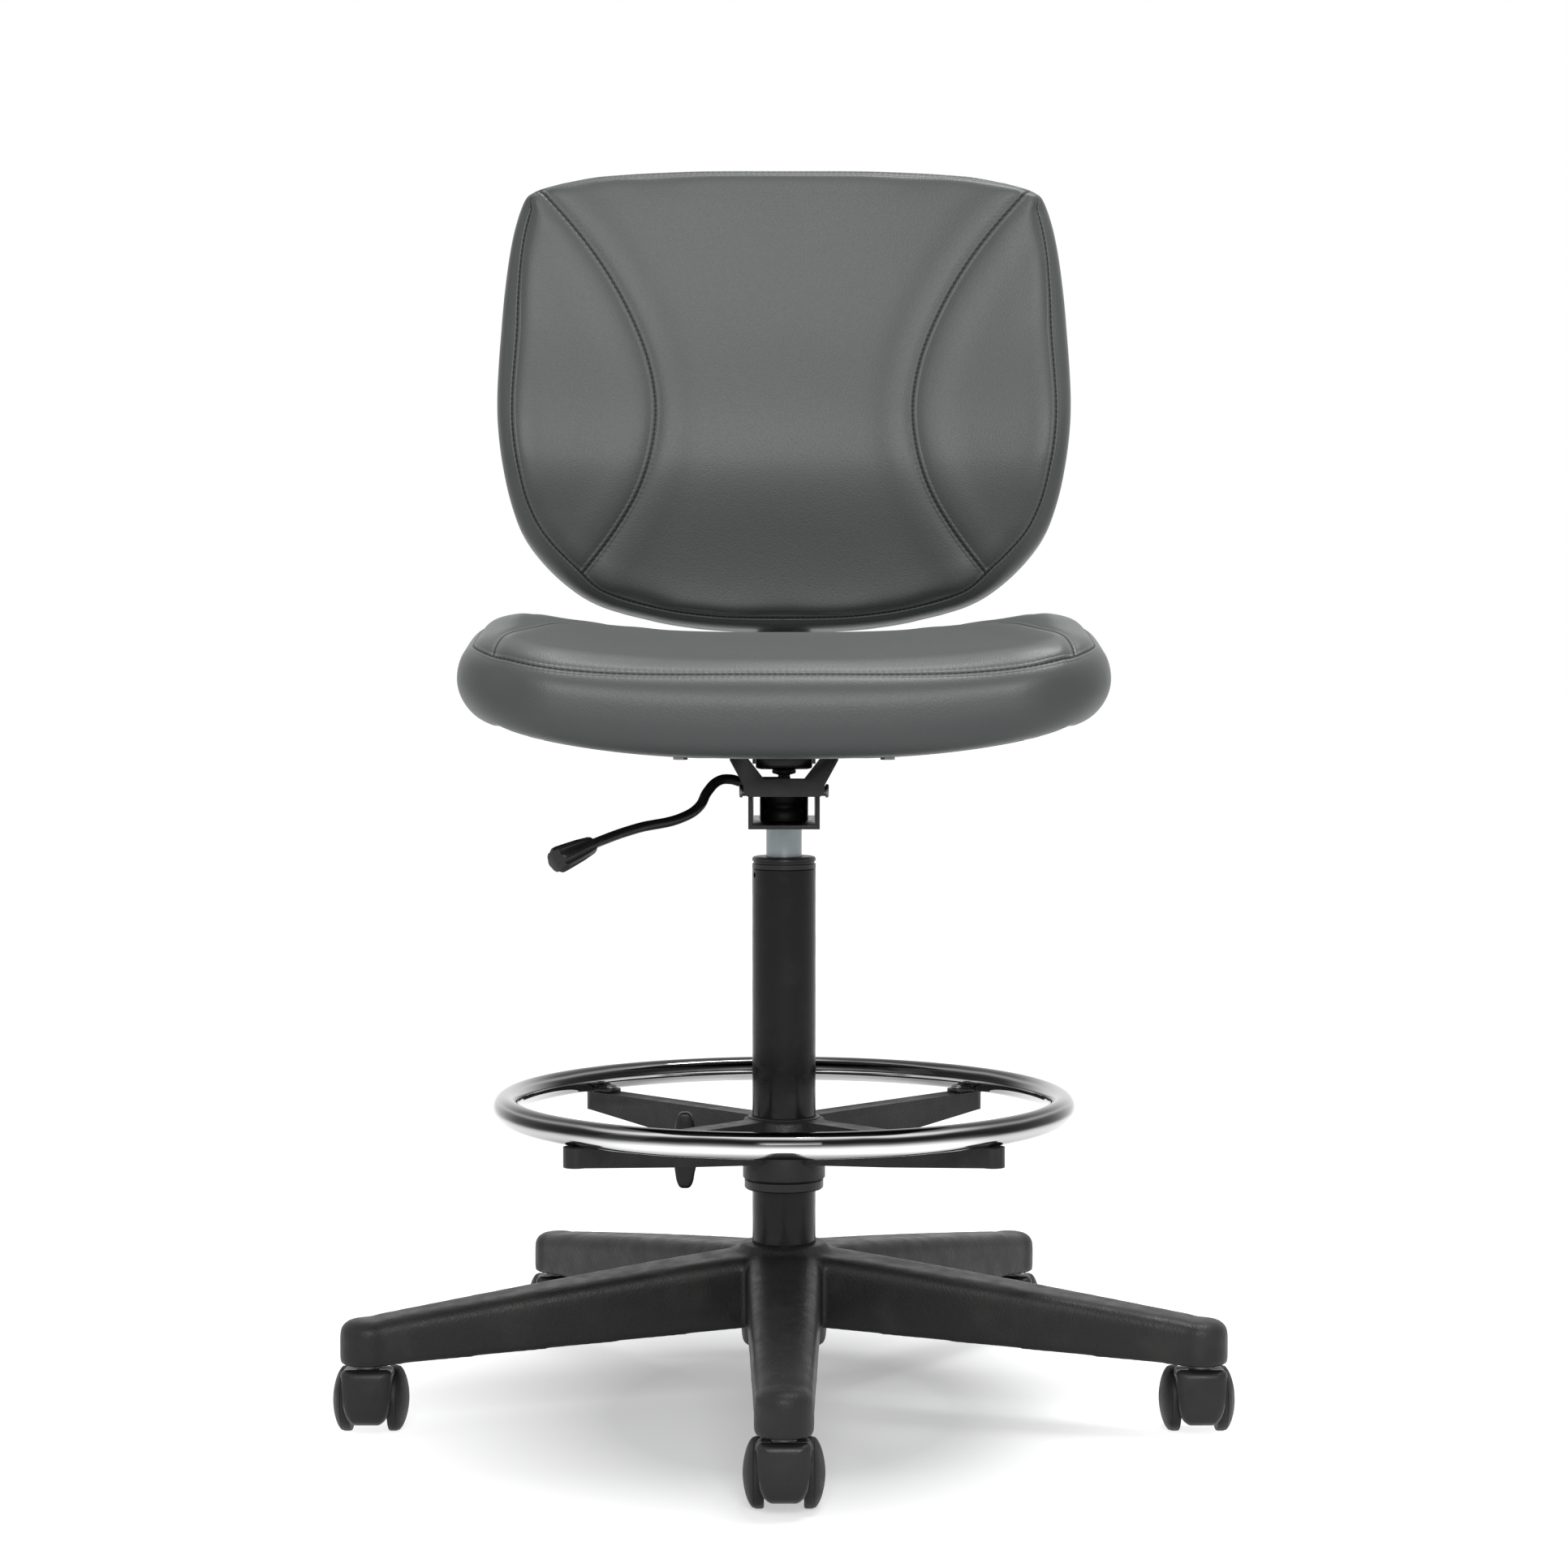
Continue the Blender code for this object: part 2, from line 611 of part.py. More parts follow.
def build_foot_ring(collar, ring):
    """Sleeve on the column, spoked hub, chromed ring with welded tabs, screws and clamp knob."""
    sleeve = [
        (TUBE_R + GAP, SPOKE_TOP + 0.0015),
        (SLEEVE_R, SPOKE_TOP + 0.0015),
        (SLEEVE_R, SLEEVE_BOTTOM + 0.007),
        (SLEEVE_FLANGE_R, SLEEVE_BOTTOM + 0.007),
        (SLEEVE_FLANGE_R, SLEEVE_BOTTOM + 0.001),
        (SLEEVE_FLANGE_R - 0.001, SLEEVE_BOTTOM),
        (TUBE_R + GAP, SLEEVE_BOTTOM),
    ]
    hang(dress(turned("ring_sleeve", sleeve, FINE), BLACK_NYLON), (0.0, 0.0, 0.0), collar)
    hub_profile = [
        (0.0, SPOKE_HUB_BOTTOM),
        (SPOKE_HUB_R - 0.001, SPOKE_HUB_BOTTOM),
        (SPOKE_HUB_R, SPOKE_HUB_BOTTOM + 0.001),
        (SPOKE_HUB_R, SPOKE_TOP - 0.002),
        (SPOKE_HUB_R - 0.002, SPOKE_TOP),
        (0.0, SPOKE_TOP),
    ]
    hub = dress(turned("spoke_hub", hub_profile, FINE), BLACK_NYLON)
    hang(hub, (0.0, 0.0, 0.0), ring)
    tube = turned(
        "foot_ring",
        [
            (
                RING_R + RING_TUBE_R * math.cos(2.0 * math.pi * i / RING_SIDES),
                RING_Z - RING_TUBE_R * math.sin(2.0 * math.pi * i / RING_SIDES),
            )
            for i in range(RING_SIDES)
        ],
        48,
    )
    hang(dress(tube, CHROME), (0.0, 0.0, 0.0), ring)
    tab_low = SPOKE_TOP + 2 * GAP
    screw_foot = SPOKE_TOP - 0.009
    drills = []
    for i, angle in enumerate(spoke_angles(), 1):
        half = SPOKE_WIDTH / 2
        outline = [(0.030, half), (RING_R, half)]
        outline += [
            (RING_R + half * math.sin(math.pi * k / 6), half * math.cos(math.pi * k / 6))
            for k in range(1, 6)
        ]
        outline += [(RING_R, -half), (0.030, -half)]
        lower = [
            (a, b, SPOKE_TIP_BOTTOM if a >= RING_R else SPOKE_ROOT_BOTTOM) for a, b in outline
        ]
        upper = [(a, b, SPOKE_TOP) for a, b in outline]
        spoke = skin(f"spoke_{i}", [lower, upper])
        tab = block(
            f"ring_tab_{i}",
            (TAB_IN, -TAB_WIDTH / 2, tab_low),
            (RING_R + 0.002, TAB_WIDTH / 2, tab_low + TAB_THICK),
        )
        for shape in (spoke, tab):
            shape.rotation_euler = (0.0, 0.0, angle)
        fuse(hub, spoke, solver="MANIFOLD")
        fuse(tube, tab)
        at = (SCREW_AT * math.cos(angle), SCREW_AT * math.sin(angle), 0.0)
        drills.append(
            pin_cutter(
                f"spoke_drill_{i}", 0.0025 + GAP, "Z", at, screw_foot - GAP, SPOKE_TOP + THROUGH, COARSE
            )
        )
        cut(
            tube,
            pin_cutter(
                f"tab_hole_{i}", 0.0025 + GAP, "Z", at, tab_low - THROUGH / 2, RING_Z, COARSE
            ),
        )
        head = tab_low + TAB_THICK + GAP
        screw = [
            (0.0, screw_foot),
            (0.0025, screw_foot),
            (0.0025, head),
            (0.0048, head),
            (0.0040, head + 0.0026),
            (0.0, head + 0.0030),
        ]
        hang(dress(turned(f"ring_screw_{i}", screw, COARSE), STEEL), at, ring)
    cut(
        hub,
        pin_cutter("hub_sleeve_bore", SLEEVE_R + GAP, "Z", (0.0, 0.0, 0.0), 0.1, 0.3, FINE),
        pin_cutter(
            "clamp_hole", 0.004 + GAP, "X", (0.0, 0.0, CLAMP_Z), -CLAMP_OUT, -CLAMP_IN + GAP, 16
        ),
        *drills,
        solver="MANIFOLD",
    )
    build_clamp_knob(ring)


def build_clamp_knob(ring):
    """The wing knob, with its moulded-in stud, that locks the foot ring to the column."""
    profile = [
        (0.0, CLAMP_IN),
        (0.0040, CLAMP_IN),
        (0.0040, WING_IN - 0.008),
        (0.0085, WING_IN - 0.008),
        (0.0105, WING_IN),
        (0.0105, CLAMP_OUT - 0.002),
        (0.0090, CLAMP_OUT),
        (0.0, CLAMP_OUT),
    ]
    knob = dress(turned("clamp_knob", profile, 16), BLACK_NYLON)
    knob.rotation_euler = (0.0, -math.pi / 2, 0.0)
    turn_axis = pivot("clamp_turn", (0.0, 0.0, CLAMP_Z), ring)
    hang(knob, (0.0, 0.0, CLAMP_Z), turn_axis)
    wing = smooth_path(
        [
            (-WING_IN, 0.010),
            (-WING_IN - 0.002, WING_HALF - 0.005),
            (-WING_IN - 0.008, WING_HALF),
            (-CLAMP_OUT + 0.003, WING_HALF - 0.005),
            (-CLAMP_OUT + 0.0005, 0.010),
        ],
        4,
    )
    half = [(point.x, point.y) for point in wing]
    outline = half + [(x, -y) for x, y in reversed(half)]
    wings = prism("clamp_wings", outline, "Y", -WING_THICK / 2, WING_THICK / 2)
    wings.parent = turn_axis
    fuse(knob, wings)


def build_pan(lift):
    """The folded steel pan with its welded socket, the lever's bush, tilt axle and buffer."""
    side = [
        (PAN_FRONT, PAN_BOTTOM),
        (PAN_REAR, PAN_BOTTOM),
        (PAN_REAR, 0.4925),
        (0.009, 0.5032),
        (-0.030, 0.5032),
        (-0.056, 0.4975),
        (PAN_FRONT, 0.4975),
    ]
    pan = dress(prism("mechanism_pan", side, "X", -PAN_HALF, PAN_HALF), BLACK_PAINT, False)
    hang(pan, (0.0, 0.0, 0.0), lift)
    floor = PAN_BOTTOM + PAN_WALL
    inner = PAN_HALF - PAN_WALL
    socket = [
        (0.0, floor - PAN_WALL / 2),
        (SOCKET_R, floor - PAN_WALL / 2),
        (SOCKET_R, SOCKET_TOP - 0.001),
        (SOCKET_R - 0.001, SOCKET_TOP),
        (0.0, SOCKET_TOP),
    ]
    taper = [
        (0.0, PAN_BOTTOM - THROUGH),
        (CYLINDER_R + GAP, PAN_BOTTOM - THROUGH),
        (CYLINDER_R + GAP, TAPER_FOOT),
        (TAPER_TOP_R + GAP, CYLINDER_TOP - 0.001),
        (TAPER_TOP_R + GAP, CYLINDER_TOP + THROUGH),
        (0.0, CYLINDER_TOP + THROUGH),
    ]
    tray = block(
        "pan_inside",
        (-inner, PAN_FRONT - THROUGH, floor),
        (inner, PAN_REAR + THROUGH, PLATE_TOP),
    )
    cut(pan, tray)
    fuse(pan, turned("socket_boss", socket))
    cut(
        pan,
        turned("socket_taper", taper),
        pin_cutter(
            "tilt_axle_hole", TILT_AXLE_R + GAP, "X", (0.0, TILT_Y, TILT_Z),
            -2 * PAN_HALF, 2 * PAN_HALF, 16,
        ),
        pin_cutter(
            "lever_hole", LEVER_BUSH_R + GAP, "X", (-PAN_HALF, 0.0, LEVER_Z),
            -THROUGH, THROUGH, 16,
        ),
    )
    bush = [
        (LEVER_BORE, PAN_HALF + 0.0030),
        (LEVER_BUSH_R + 0.0016, PAN_HALF + 0.0030),
        (LEVER_BUSH_R + 0.0016, PAN_HALF + GAP),
        (LEVER_BUSH_R, PAN_HALF + GAP),
        (LEVER_BUSH_R, PAN_HALF - PAN_WALL - 0.0010),
        (LEVER_BORE, PAN_HALF - PAN_WALL - 0.0010),
    ]
    lever_bush = dress(turned("lever_bush", bush, 16), BLACK_NYLON)
    lever_bush.rotation_euler = (0.0, -math.pi / 2, 0.0)
    hang(lever_bush, (0.0, 0.0, LEVER_Z), lift)
    head_in = PAN_HALF + 0.0045
    half_axle = [
        (0.0046, head_in + 0.0024),
        (0.0052, head_in + 0.0016),
        (0.0052, head_in),
        (TILT_AXLE_R, head_in),
    ]
    axle_profile = [(0.0, head_in + 0.0024)] + half_axle
    axle_profile += [(r, -x) for r, x in reversed(half_axle)] + [(0.0, -head_in - 0.0024)]
    axle = dress(turned("tilt_axle", axle_profile, 16), STEEL)
    axle.rotation_euler = (0.0, math.pi / 2, 0.0)
    hang(axle, (0.0, TILT_Y, TILT_Z), lift)
    buffer_low, buffer_high = floor + GAP, PLATE_BOTTOM - GAP
    lobes = 3
    height = (buffer_high - buffer_low) / lobes
    profile = [(0.0, buffer_low)]
    for i in range(lobes):
        low = buffer_low + i * height
        profile += [
            (BUFFER_R - 0.0030, low),
            (BUFFER_R, low + 0.3 * height),
            (BUFFER_R, low + 0.7 * height),
        ]
    profile += [(BUFFER_R - 0.0030, buffer_high), (0.0, buffer_high)]
    tilt_buffer = dress(turned("tilt_buffer", profile, 16), BLACK_RUBBER)
    hang(tilt_buffer, (0.0, BUFFER_Y, 0.0), lift)


def build_lever(lift):
    """The bent height lever and its fluted knob, which rock together in the pan's wall."""
    rock = pivot("lever_rock", (LEVER_X, 0.0, LEVER_Z), lift)
    bend = [
        (-0.034, 0.000, LEVER_Z),
        (-0.050, -0.005, 0.4935),
        (-0.060, -0.010, 0.4850),
        (-0.066, -0.014, 0.4740),
        (-0.079, -0.020, 0.4665),
        (-0.115, -0.038, 0.4580),
        (-0.145, -0.066, 0.4470),
    ]
    knob_end = Vector((-0.175, -0.105, 0.434))
    knob_axis = (knob_end - Vector(bend[-1])).normalized()
    rod_end = knob_end - knob_axis * 0.020
    points = [Vector((0.005, 0.0, LEVER_Z)), *smooth_path([*bend, rod_end], 3)]
    curve = bpy.data.curves.new("lever_rod", "CURVE")
    curve.dimensions = "3D"
    curve.bevel_depth = LEVER_R
    curve.bevel_resolution = 2
    curve.use_fill_caps = True
    spline = curve.splines.new("POLY")
    spline.points.add(len(points) - 1)
    for slot, point in zip(spline.points, points):
        slot.co = (*(point - Vector((LEVER_X, 0.0, LEVER_Z))), 1.0)
    rod = bpy.data.objects.new("lever_rod", curve)
    bpy.context.collection.objects.link(rod)
    curve.materials.append(material_of(BLACK_PAINT))
    hang(rod, (LEVER_X, 0.0, LEVER_Z), rock)
    length = 0.046
    knob_profile = [
        (0.0, 0.0),
        (0.0100, 0.0),
        (0.0112, -0.0015),
        (0.0095, -0.030),
        (0.0065, -length),
        (LEVER_BORE, -length),
        (LEVER_BORE, -0.018),
        (0.0, -0.018),
    ]
    knob = turned("lever_knob", knob_profile, FINE, flutes=8, flute_depth=0.05)
    dress(knob, BLACK_NYLON).rotation_euler = knob_axis.to_track_quat("Z", "Y").to_euler()
    hang(knob, knob_end, rock)


def build_seat_bracket(tilt):
    """The pressed bracket that rocks on the tilt axle and carries seat and back bar."""
    plate = block(
        "seat_bracket", (-YOKE_HALF, YOKE_FRONT, PLATE_BOTTOM), (YOKE_HALF, PLATE_REAR, PLATE_TOP)
    )
    dress(plate, BLACK_PAINT, False)
    hang(plate, (0.0, 0.0, 0.0), tilt)
    foot, knee, knee_half = 0.4870, 0.4965, PAN_HALF + 0.0040
    outer = [
        (-YOKE_HALF, PLATE_BOTTOM + 0.001),
        (-YOKE_HALF, PLATE_BOTTOM - 0.003),
        (-knee_half, knee),
        (-knee_half + 0.0012, foot + 0.002),
        (-knee_half + 0.0040, foot),
    ]
    outer += [(-x, z) for x, z in reversed(outer)]
    inner = [
        (-YOKE_HALF + 0.0036, PLATE_BOTTOM),
        (-YOKE_HALF + 0.0036, PLATE_BOTTOM - 0.003),
        (-knee_half + 0.0030, knee),
        (-knee_half + 0.0030, foot - THROUGH),
    ]
    inner += [(-x, z) for x, z in reversed(inner)]
    window = [(-0.0285, PLATE_BOTTOM), (-0.0155, 0.5010), (0.0155, 0.5010), (0.0285, PLATE_BOTTOM)]
    yoke = prism("yoke", outer, "Y", YOKE_FRONT, YOKE_REAR)
    sleeve_half = BACK_BAR_WIDTH / 2 + 0.003
    bar_half = BACK_BAR_THICK / 2
    sleeve = block(
        "bar_sleeve",
        (-sleeve_half, PLATE_REAR - 0.060, BAR_Z - bar_half - 0.003),
        (sleeve_half, PLATE_REAR, PLATE_BOTTOM + 0.001),
    )
    arms = [
        block(
            f"seat_arm_{i}",
            (-ARM_HALF, y - ARM_WIDTH / 2, PLATE_BOTTOM),
            (ARM_HALF, y + ARM_WIDTH / 2, PLATE_TOP),
        )
        for i, y in enumerate(ARM_Y, 1)
    ]
    fuse(plate, *arms, yoke, sleeve)
    slot = block(
        "bar_slot",
        (-BACK_BAR_WIDTH / 2 - GAP, PLATE_REAR - 0.057, BAR_Z - bar_half - GAP),
        (BACK_BAR_WIDTH / 2 + GAP, PLATE_REAR + THROUGH, BAR_Z + bar_half + GAP),
    )
    cut(
        plate,
        prism("yoke_inside", inner, "Y", YOKE_FRONT + 0.003, YOKE_REAR + THROUGH),
        prism("yoke_window", window, "Y", YOKE_FRONT - THROUGH, YOKE_FRONT + THROUGH),
        slot,
        pin_cutter(
            "yoke_axle_hole", TILT_AXLE_R + GAP, "X", (0.0, TILT_Y, TILT_Z),
            -2 * PAN_HALF, 2 * PAN_HALF, 16,
        ),
        pin_cutter(
            "bar_bolt_hole", 0.004 + GAP, "Z", (0.0, PLATE_REAR - 0.022, 0.0),
            BAR_Z - 2 * THROUGH, PLATE_TOP + THROUGH, COARSE,
        ),
        *[
            pin_cutter(f"seat_bolt_hole_{i}", 0.003 + GAP, "Z", (x, y, 0.0), 0.49, 0.53, COARSE)
            for i, (x, y) in enumerate(seat_bolt_places(), 1)
        ],
    )


def seat_bolt_places():
    """Where the four seat bolts stand."""
    return [(x, y) for y in ARM_Y for x in (-BOLT_X, BOLT_X)]


def seat_outline(margin=0.0):
    """The seat's plan outline, taken in by a margin."""
    return rounded_loop(
        -SEAT_HALF_X + margin, SEAT_HALF_X - margin, SEAT_FRONT + margin, SEAT_REAR - margin,
        SEAT_CORNER - margin, 36,
    )


def ease(share):
    """A share of a rise, limited to 0..1 and rounded at both ends."""
    share = max(0.0, min(1.0, share))
    return share * share * (3.0 - 2.0 * share)


def seat_upper(x, y):
    """Height of the seat's top: falling to the front, raised along both sides."""
    front = ease((-0.06 - y) / 0.20) * SEAT_FRONT_DROP
    rear = ease((y - 0.08) / 0.10) * SEAT_REAR_DROP
    return SEAT_TOP - front - rear + SEAT_BOLSTER * min(1.0, abs(x) / 0.2) ** 3


def seat_lower(x, _y):
    """Height of the cushion's underside, dished across the seat."""
    return SEAT_BOTTOM + SEAT_DISH * x * x


def board_lower(x, _y):
    """Height of the seat board's underside: flat on the bracket, curved up at both sides."""
    return BOARD_BOTTOM + BOARD_CURVE * max(0.0, abs(x) - BOARD_FLAT) ** 2


def hex_bolt(name, radius, across, head, base, tip):
    """A hexagon-headed bolt along +Z, its head below a base height."""
    shank = [(0.0, base - THROUGH / 10), (radius, base - THROUGH / 10), (radius, tip), (0.0, tip)]
    hexagon = [(0.0, base - head), (across / math.sqrt(3.0), base - head)]
    hexagon += [(across / math.sqrt(3.0), base), (0.0, base)]
    bolt = turned(name, hexagon, 6)
    return bolt, turned(f"{name}_shank", shank, COARSE)


def place_bolt(parts, at, parent, turn=0.0):
    """Puts a bolt's head and shank together as one solid."""
    bolt, shank = parts
    dress(bolt, STEEL, False)
    for piece in (bolt, shank):
        piece.rotation_euler = (turn, 0.0, 0.0)
    hang(bolt, at, parent)
    fuse(bolt, shank)


def build_seat(tilt):
    """The curved seat board, its cushion and the four bolts that hold it."""
    board = slab(
        "seat_board", seat_outline(BOARD_MARGIN), board_lower,
        lambda x, y: board_lower(x, y) + BOARD_THICK,
    )
    hang(dress(board, PLYWOOD), (0.0, 0.0, 0.0), tilt)
    cushion = slab("seat_cushion", seat_outline(), seat_lower, seat_upper, SEAT_EDGE)
    hang(dress(cushion, UPHOLSTERY), (0.0, 0.0, 0.0), tilt)
    recess = slab(
        "seat_recess", seat_outline(BOARD_MARGIN - RECESS_GAP),
        lambda x, y: board_lower(x, y) - THROUGH,
        lambda x, y: board_lower(x, y) + BOARD_THICK + RECESS_GAP,
    )
    cut(cushion, recess)
    for i, (x, y) in enumerate(seat_bolt_places(), 1):
        drill = pin_cutter(
            f"board_hole_{i}", 0.003 + GAP, "Z", (x, y, 0.0), 0.50, BOARD_BOTTOM + 0.0105, COARSE
        )
        cut(board, drill)
        bolt = hex_bolt(
            f"seat_bolt_{i}", 0.003, 0.010, 0.004, PLATE_BOTTOM - GAP, BOARD_BOTTOM + 0.010
        )
        place_bolt(bolt, (x, y, 0.0), tilt)


def back_outline(share=1.0):
    """The back's outline, wide at the top and drawn in to a rounded foot; share scales it."""
    half = [
        (0.000, -0.192),
        (0.102, -0.184),
        (0.165, -0.165),
        (0.205, -0.140),
        (0.230, -0.100),
        (BACK_HALF, -0.035),
        (0.235, 0.065),
        (0.226, 0.130),
        (0.214, 0.160),
        (0.190, 0.178),
        (0.150, 0.187),
        (0.000, 0.188),
    ]
    points = half + [(-x, v) for x, v in reversed(half[1:-1])]
    curve = smooth_path([(x * share, v * share) for x, v in points], 5, closed=True)
    return even_loop(curve, 36)


def back_lower(x, _v):
    """How far the back's rear face stands forward of its middle."""
    return BACK_WRAP * (x / BACK_HALF) ** 2


def back_upper(x, v):
    """How far the back's front face stands forward: thinner sides and a lumbar swell."""
    side = min(1.0, abs(x) / BACK_HALF) ** 2
    swell = LUMBAR * math.exp(-(((v - LUMBAR_V) / LUMBAR_SPAN) ** 2))
    return back_lower(x, v) + BACK_THICK + (BACK_SIDE_THICK - BACK_THICK) * side + swell


def bar_path():
    """Centre line of the back bar: out of its sleeve, round the bend and up the back."""
    lift = Vector((0.0, math.sin(BACK_LEAN), math.cos(BACK_LEAN)))
    behind = Vector((0.0, math.cos(BACK_LEAN), -math.sin(BACK_LEAN)))
    rear = Vector((0.0, BACK_Y, BACK_Z)) + behind * (BACK_BAR_THICK / 2 + GAP)
    bend_top = BAR_Z + BAR_BEND * (1.0 - math.sin(BACK_LEAN))
    bend_end = rear + lift * ((bend_top - rear.z) / lift.z)
    bend_start = bend_end.y - BAR_BEND * math.cos(BACK_LEAN)
    steps = 7
    path = [(Vector((0.0, BAR_FRONT, BAR_Z)), 0.0)]
    for i in range(steps + 1):
        angle = (math.pi / 2 - BACK_LEAN) * i / steps
        y = bend_start + BAR_BEND * math.sin(angle)
        z = BAR_Z + BAR_BEND * (1.0 - math.cos(angle))
        path.append((Vector((0.0, y, z)), angle))
    path.append((rear + lift * BAR_TOP, math.pi / 2 - BACK_LEAN))
    return path


def build_back(tilt):
    """The steel back bar with its bolts, the back board and the back cushion."""
    rings = []
    half, thick = BACK_BAR_WIDTH / 2, BACK_BAR_THICK / 2
    section = [(half, -thick), (half, thick), (-half, thick), (-half, -thick)]
    for point, angle in bar_path():
        across = Vector((0.0, -math.sin(angle), math.cos(angle)))
        rings.append([point + across * b + Vector((a, 0.0, 0.0)) for a, b in section])
    bar = dress(skin("back_upright", rings), BLACK_PAINT, False)
    hang(bar, (0.0, 0.0, 0.0), tilt)
    bolt_y = PLATE_REAR - 0.022
    cut(
        bar,
        pin_cutter(
            "upright_bolt_hole", 0.004 + GAP, "Z", (0.0, bolt_y, 0.0),
            BAR_Z - THROUGH, BAR_Z + THROUGH, COARSE,
        ),
    )
    sleeve_foot = BAR_Z - BACK_BAR_THICK / 2 - 0.003
    bolt = hex_bolt("upright_bolt", 0.004, 0.013, 0.0053, sleeve_foot - GAP, PLATE_TOP - GAP)
    place_bolt(bolt, (0.0, bolt_y, 0.0), tilt)

    turn = math.pi / 2 - BACK_LEAN
    at = (0.0, BACK_Y, BACK_Z)
    board = slab(
        "back_board", back_outline(BACK_BOARD_SHARE), back_lower,
        lambda x, v: back_lower(x, v) + BACK_BOARD_THICK,
    )
    cushion = slab("back_cushion", back_outline(), back_lower, back_upper, BACK_EDGE)
    recess = slab(
        "back_recess", back_outline(BACK_BOARD_SHARE + RECESS_GAP / BACK_HALF * 2),
        lambda x, v: back_lower(x, v) - THROUGH,
        lambda x, v: back_lower(x, v) + BACK_BOARD_THICK + RECESS_GAP,
    )
    recess.rotation_euler = (turn, 0.0, 0.0)
    for piece, finish in ((board, PLYWOOD), (cushion, UPHOLSTERY)):
        dress(piece, finish).rotation_euler = (turn, 0.0, 0.0)
        hang(piece, at, tilt)
    cut(cushion, recess)
    bar_rear = -BACK_BAR_THICK - 2 * GAP
    up = Vector((0.0, math.sin(BACK_LEAN), math.cos(BACK_LEAN)))
    for i, v in enumerate(BACK_BOLT_Z, 1):
        bolt_at = Vector(at) + up * v
        for piece, low, high in ((bar, -THROUGH, THROUGH), (board, -THROUGH, 0.0085)):
            drill = pin_cutter(
                f"{piece.name}_hole_{i}", 0.003 + GAP, "Z", (0.0, 0.0, 0.0), low, high, COARSE
            )
            drill.rotation_euler = (turn, 0.0, 0.0)
            drill.parent = tilt
            drill.location = bolt_at + Vector((0.0, COLUMN_Y, 0.0)) - origin_of(tilt)
            cut(piece, drill)
        place_bolt(
            hex_bolt(f"back_bolt_{i}", 0.003, 0.010, 0.004, bar_rear, 0.008), bolt_at, tilt, turn
        )


def main():
    """Builds the chair, body by body."""
    clear_scene()
    root = pivot("chair_base", (0.0, 0.0, 0.0))
    swivel = pivot("seat_swivel", (0.0, 0.0, HUB_BOTTOM), root)
    lift = pivot("seat_lift", (0.0, 0.0, CYLINDER_BOTTOM), swivel)
    tilt = pivot("seat_tilt", (0.0, TILT_Y, TILT_Z), lift)
    collar = pivot("ring_height", (0.0, 0.0, SLEEVE_BOTTOM), root)
    ring = pivot("ring_turn", (0.0, 0.0, RING_Z), collar)
    build_base(root)
    build_casters(root)
    build_column(root, swivel, lift)
    build_foot_ring(collar, ring)
    build_pan(lift)
    build_lever(lift)
    build_seat_bracket(tilt)
    build_seat(tilt)
    build_back(tilt)


if __name__ == "__main__":
    main()
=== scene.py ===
"""Drafting chair: the visual model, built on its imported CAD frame.

Metres, +Z up, the front of the chair towards -Y. Pieces are modelled round the column's axis and
then moved COLUMN_Y back, to where the column stands in the frame.
"""

import json
import logging
import math
from collections.abc import Callable, Sequence
from dataclasses import dataclass
from enum import Enum

import bmesh
import bpy
import numpy as np
from mathutils import Matrix, Vector

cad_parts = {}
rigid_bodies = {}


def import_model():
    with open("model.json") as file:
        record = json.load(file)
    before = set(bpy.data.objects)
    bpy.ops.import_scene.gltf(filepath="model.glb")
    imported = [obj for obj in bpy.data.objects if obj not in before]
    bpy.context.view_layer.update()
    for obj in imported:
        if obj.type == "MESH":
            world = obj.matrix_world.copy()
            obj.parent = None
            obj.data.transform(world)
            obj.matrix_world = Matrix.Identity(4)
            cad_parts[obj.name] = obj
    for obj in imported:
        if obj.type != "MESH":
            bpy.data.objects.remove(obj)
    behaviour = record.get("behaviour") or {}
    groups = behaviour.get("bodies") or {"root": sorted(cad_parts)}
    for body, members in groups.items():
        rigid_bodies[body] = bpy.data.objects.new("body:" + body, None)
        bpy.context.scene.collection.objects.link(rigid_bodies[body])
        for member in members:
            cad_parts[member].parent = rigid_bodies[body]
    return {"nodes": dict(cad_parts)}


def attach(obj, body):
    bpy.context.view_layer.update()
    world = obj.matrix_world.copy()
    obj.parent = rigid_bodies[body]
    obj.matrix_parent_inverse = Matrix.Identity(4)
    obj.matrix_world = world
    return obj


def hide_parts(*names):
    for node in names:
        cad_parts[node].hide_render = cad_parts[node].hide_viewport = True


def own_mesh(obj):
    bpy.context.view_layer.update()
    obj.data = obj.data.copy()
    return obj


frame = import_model()

LOG = logging.getLogger("drafting_chair")
COLUMN_Y = 0.018

Point = tuple[float, float, float]
Profile = Sequence[tuple[float, float]]
Object = bpy.types.Object
Surface = Callable[[np.ndarray, np.ndarray], np.ndarray]
Form = Callable[[np.ndarray], tuple[np.ndarray, np.ndarray]]


class Pick(Enum):
    """What a selection in edit mode is made of."""

    POINTS = "VERT"
    EDGES = "EDGE"
    FACES = "FACE"


class Side(Enum):
    """Which side of a caster a wheel runs on."""

    LEFT = -1.0
    RIGHT = 1.0


# ---------------------------------------------------------------- the bench


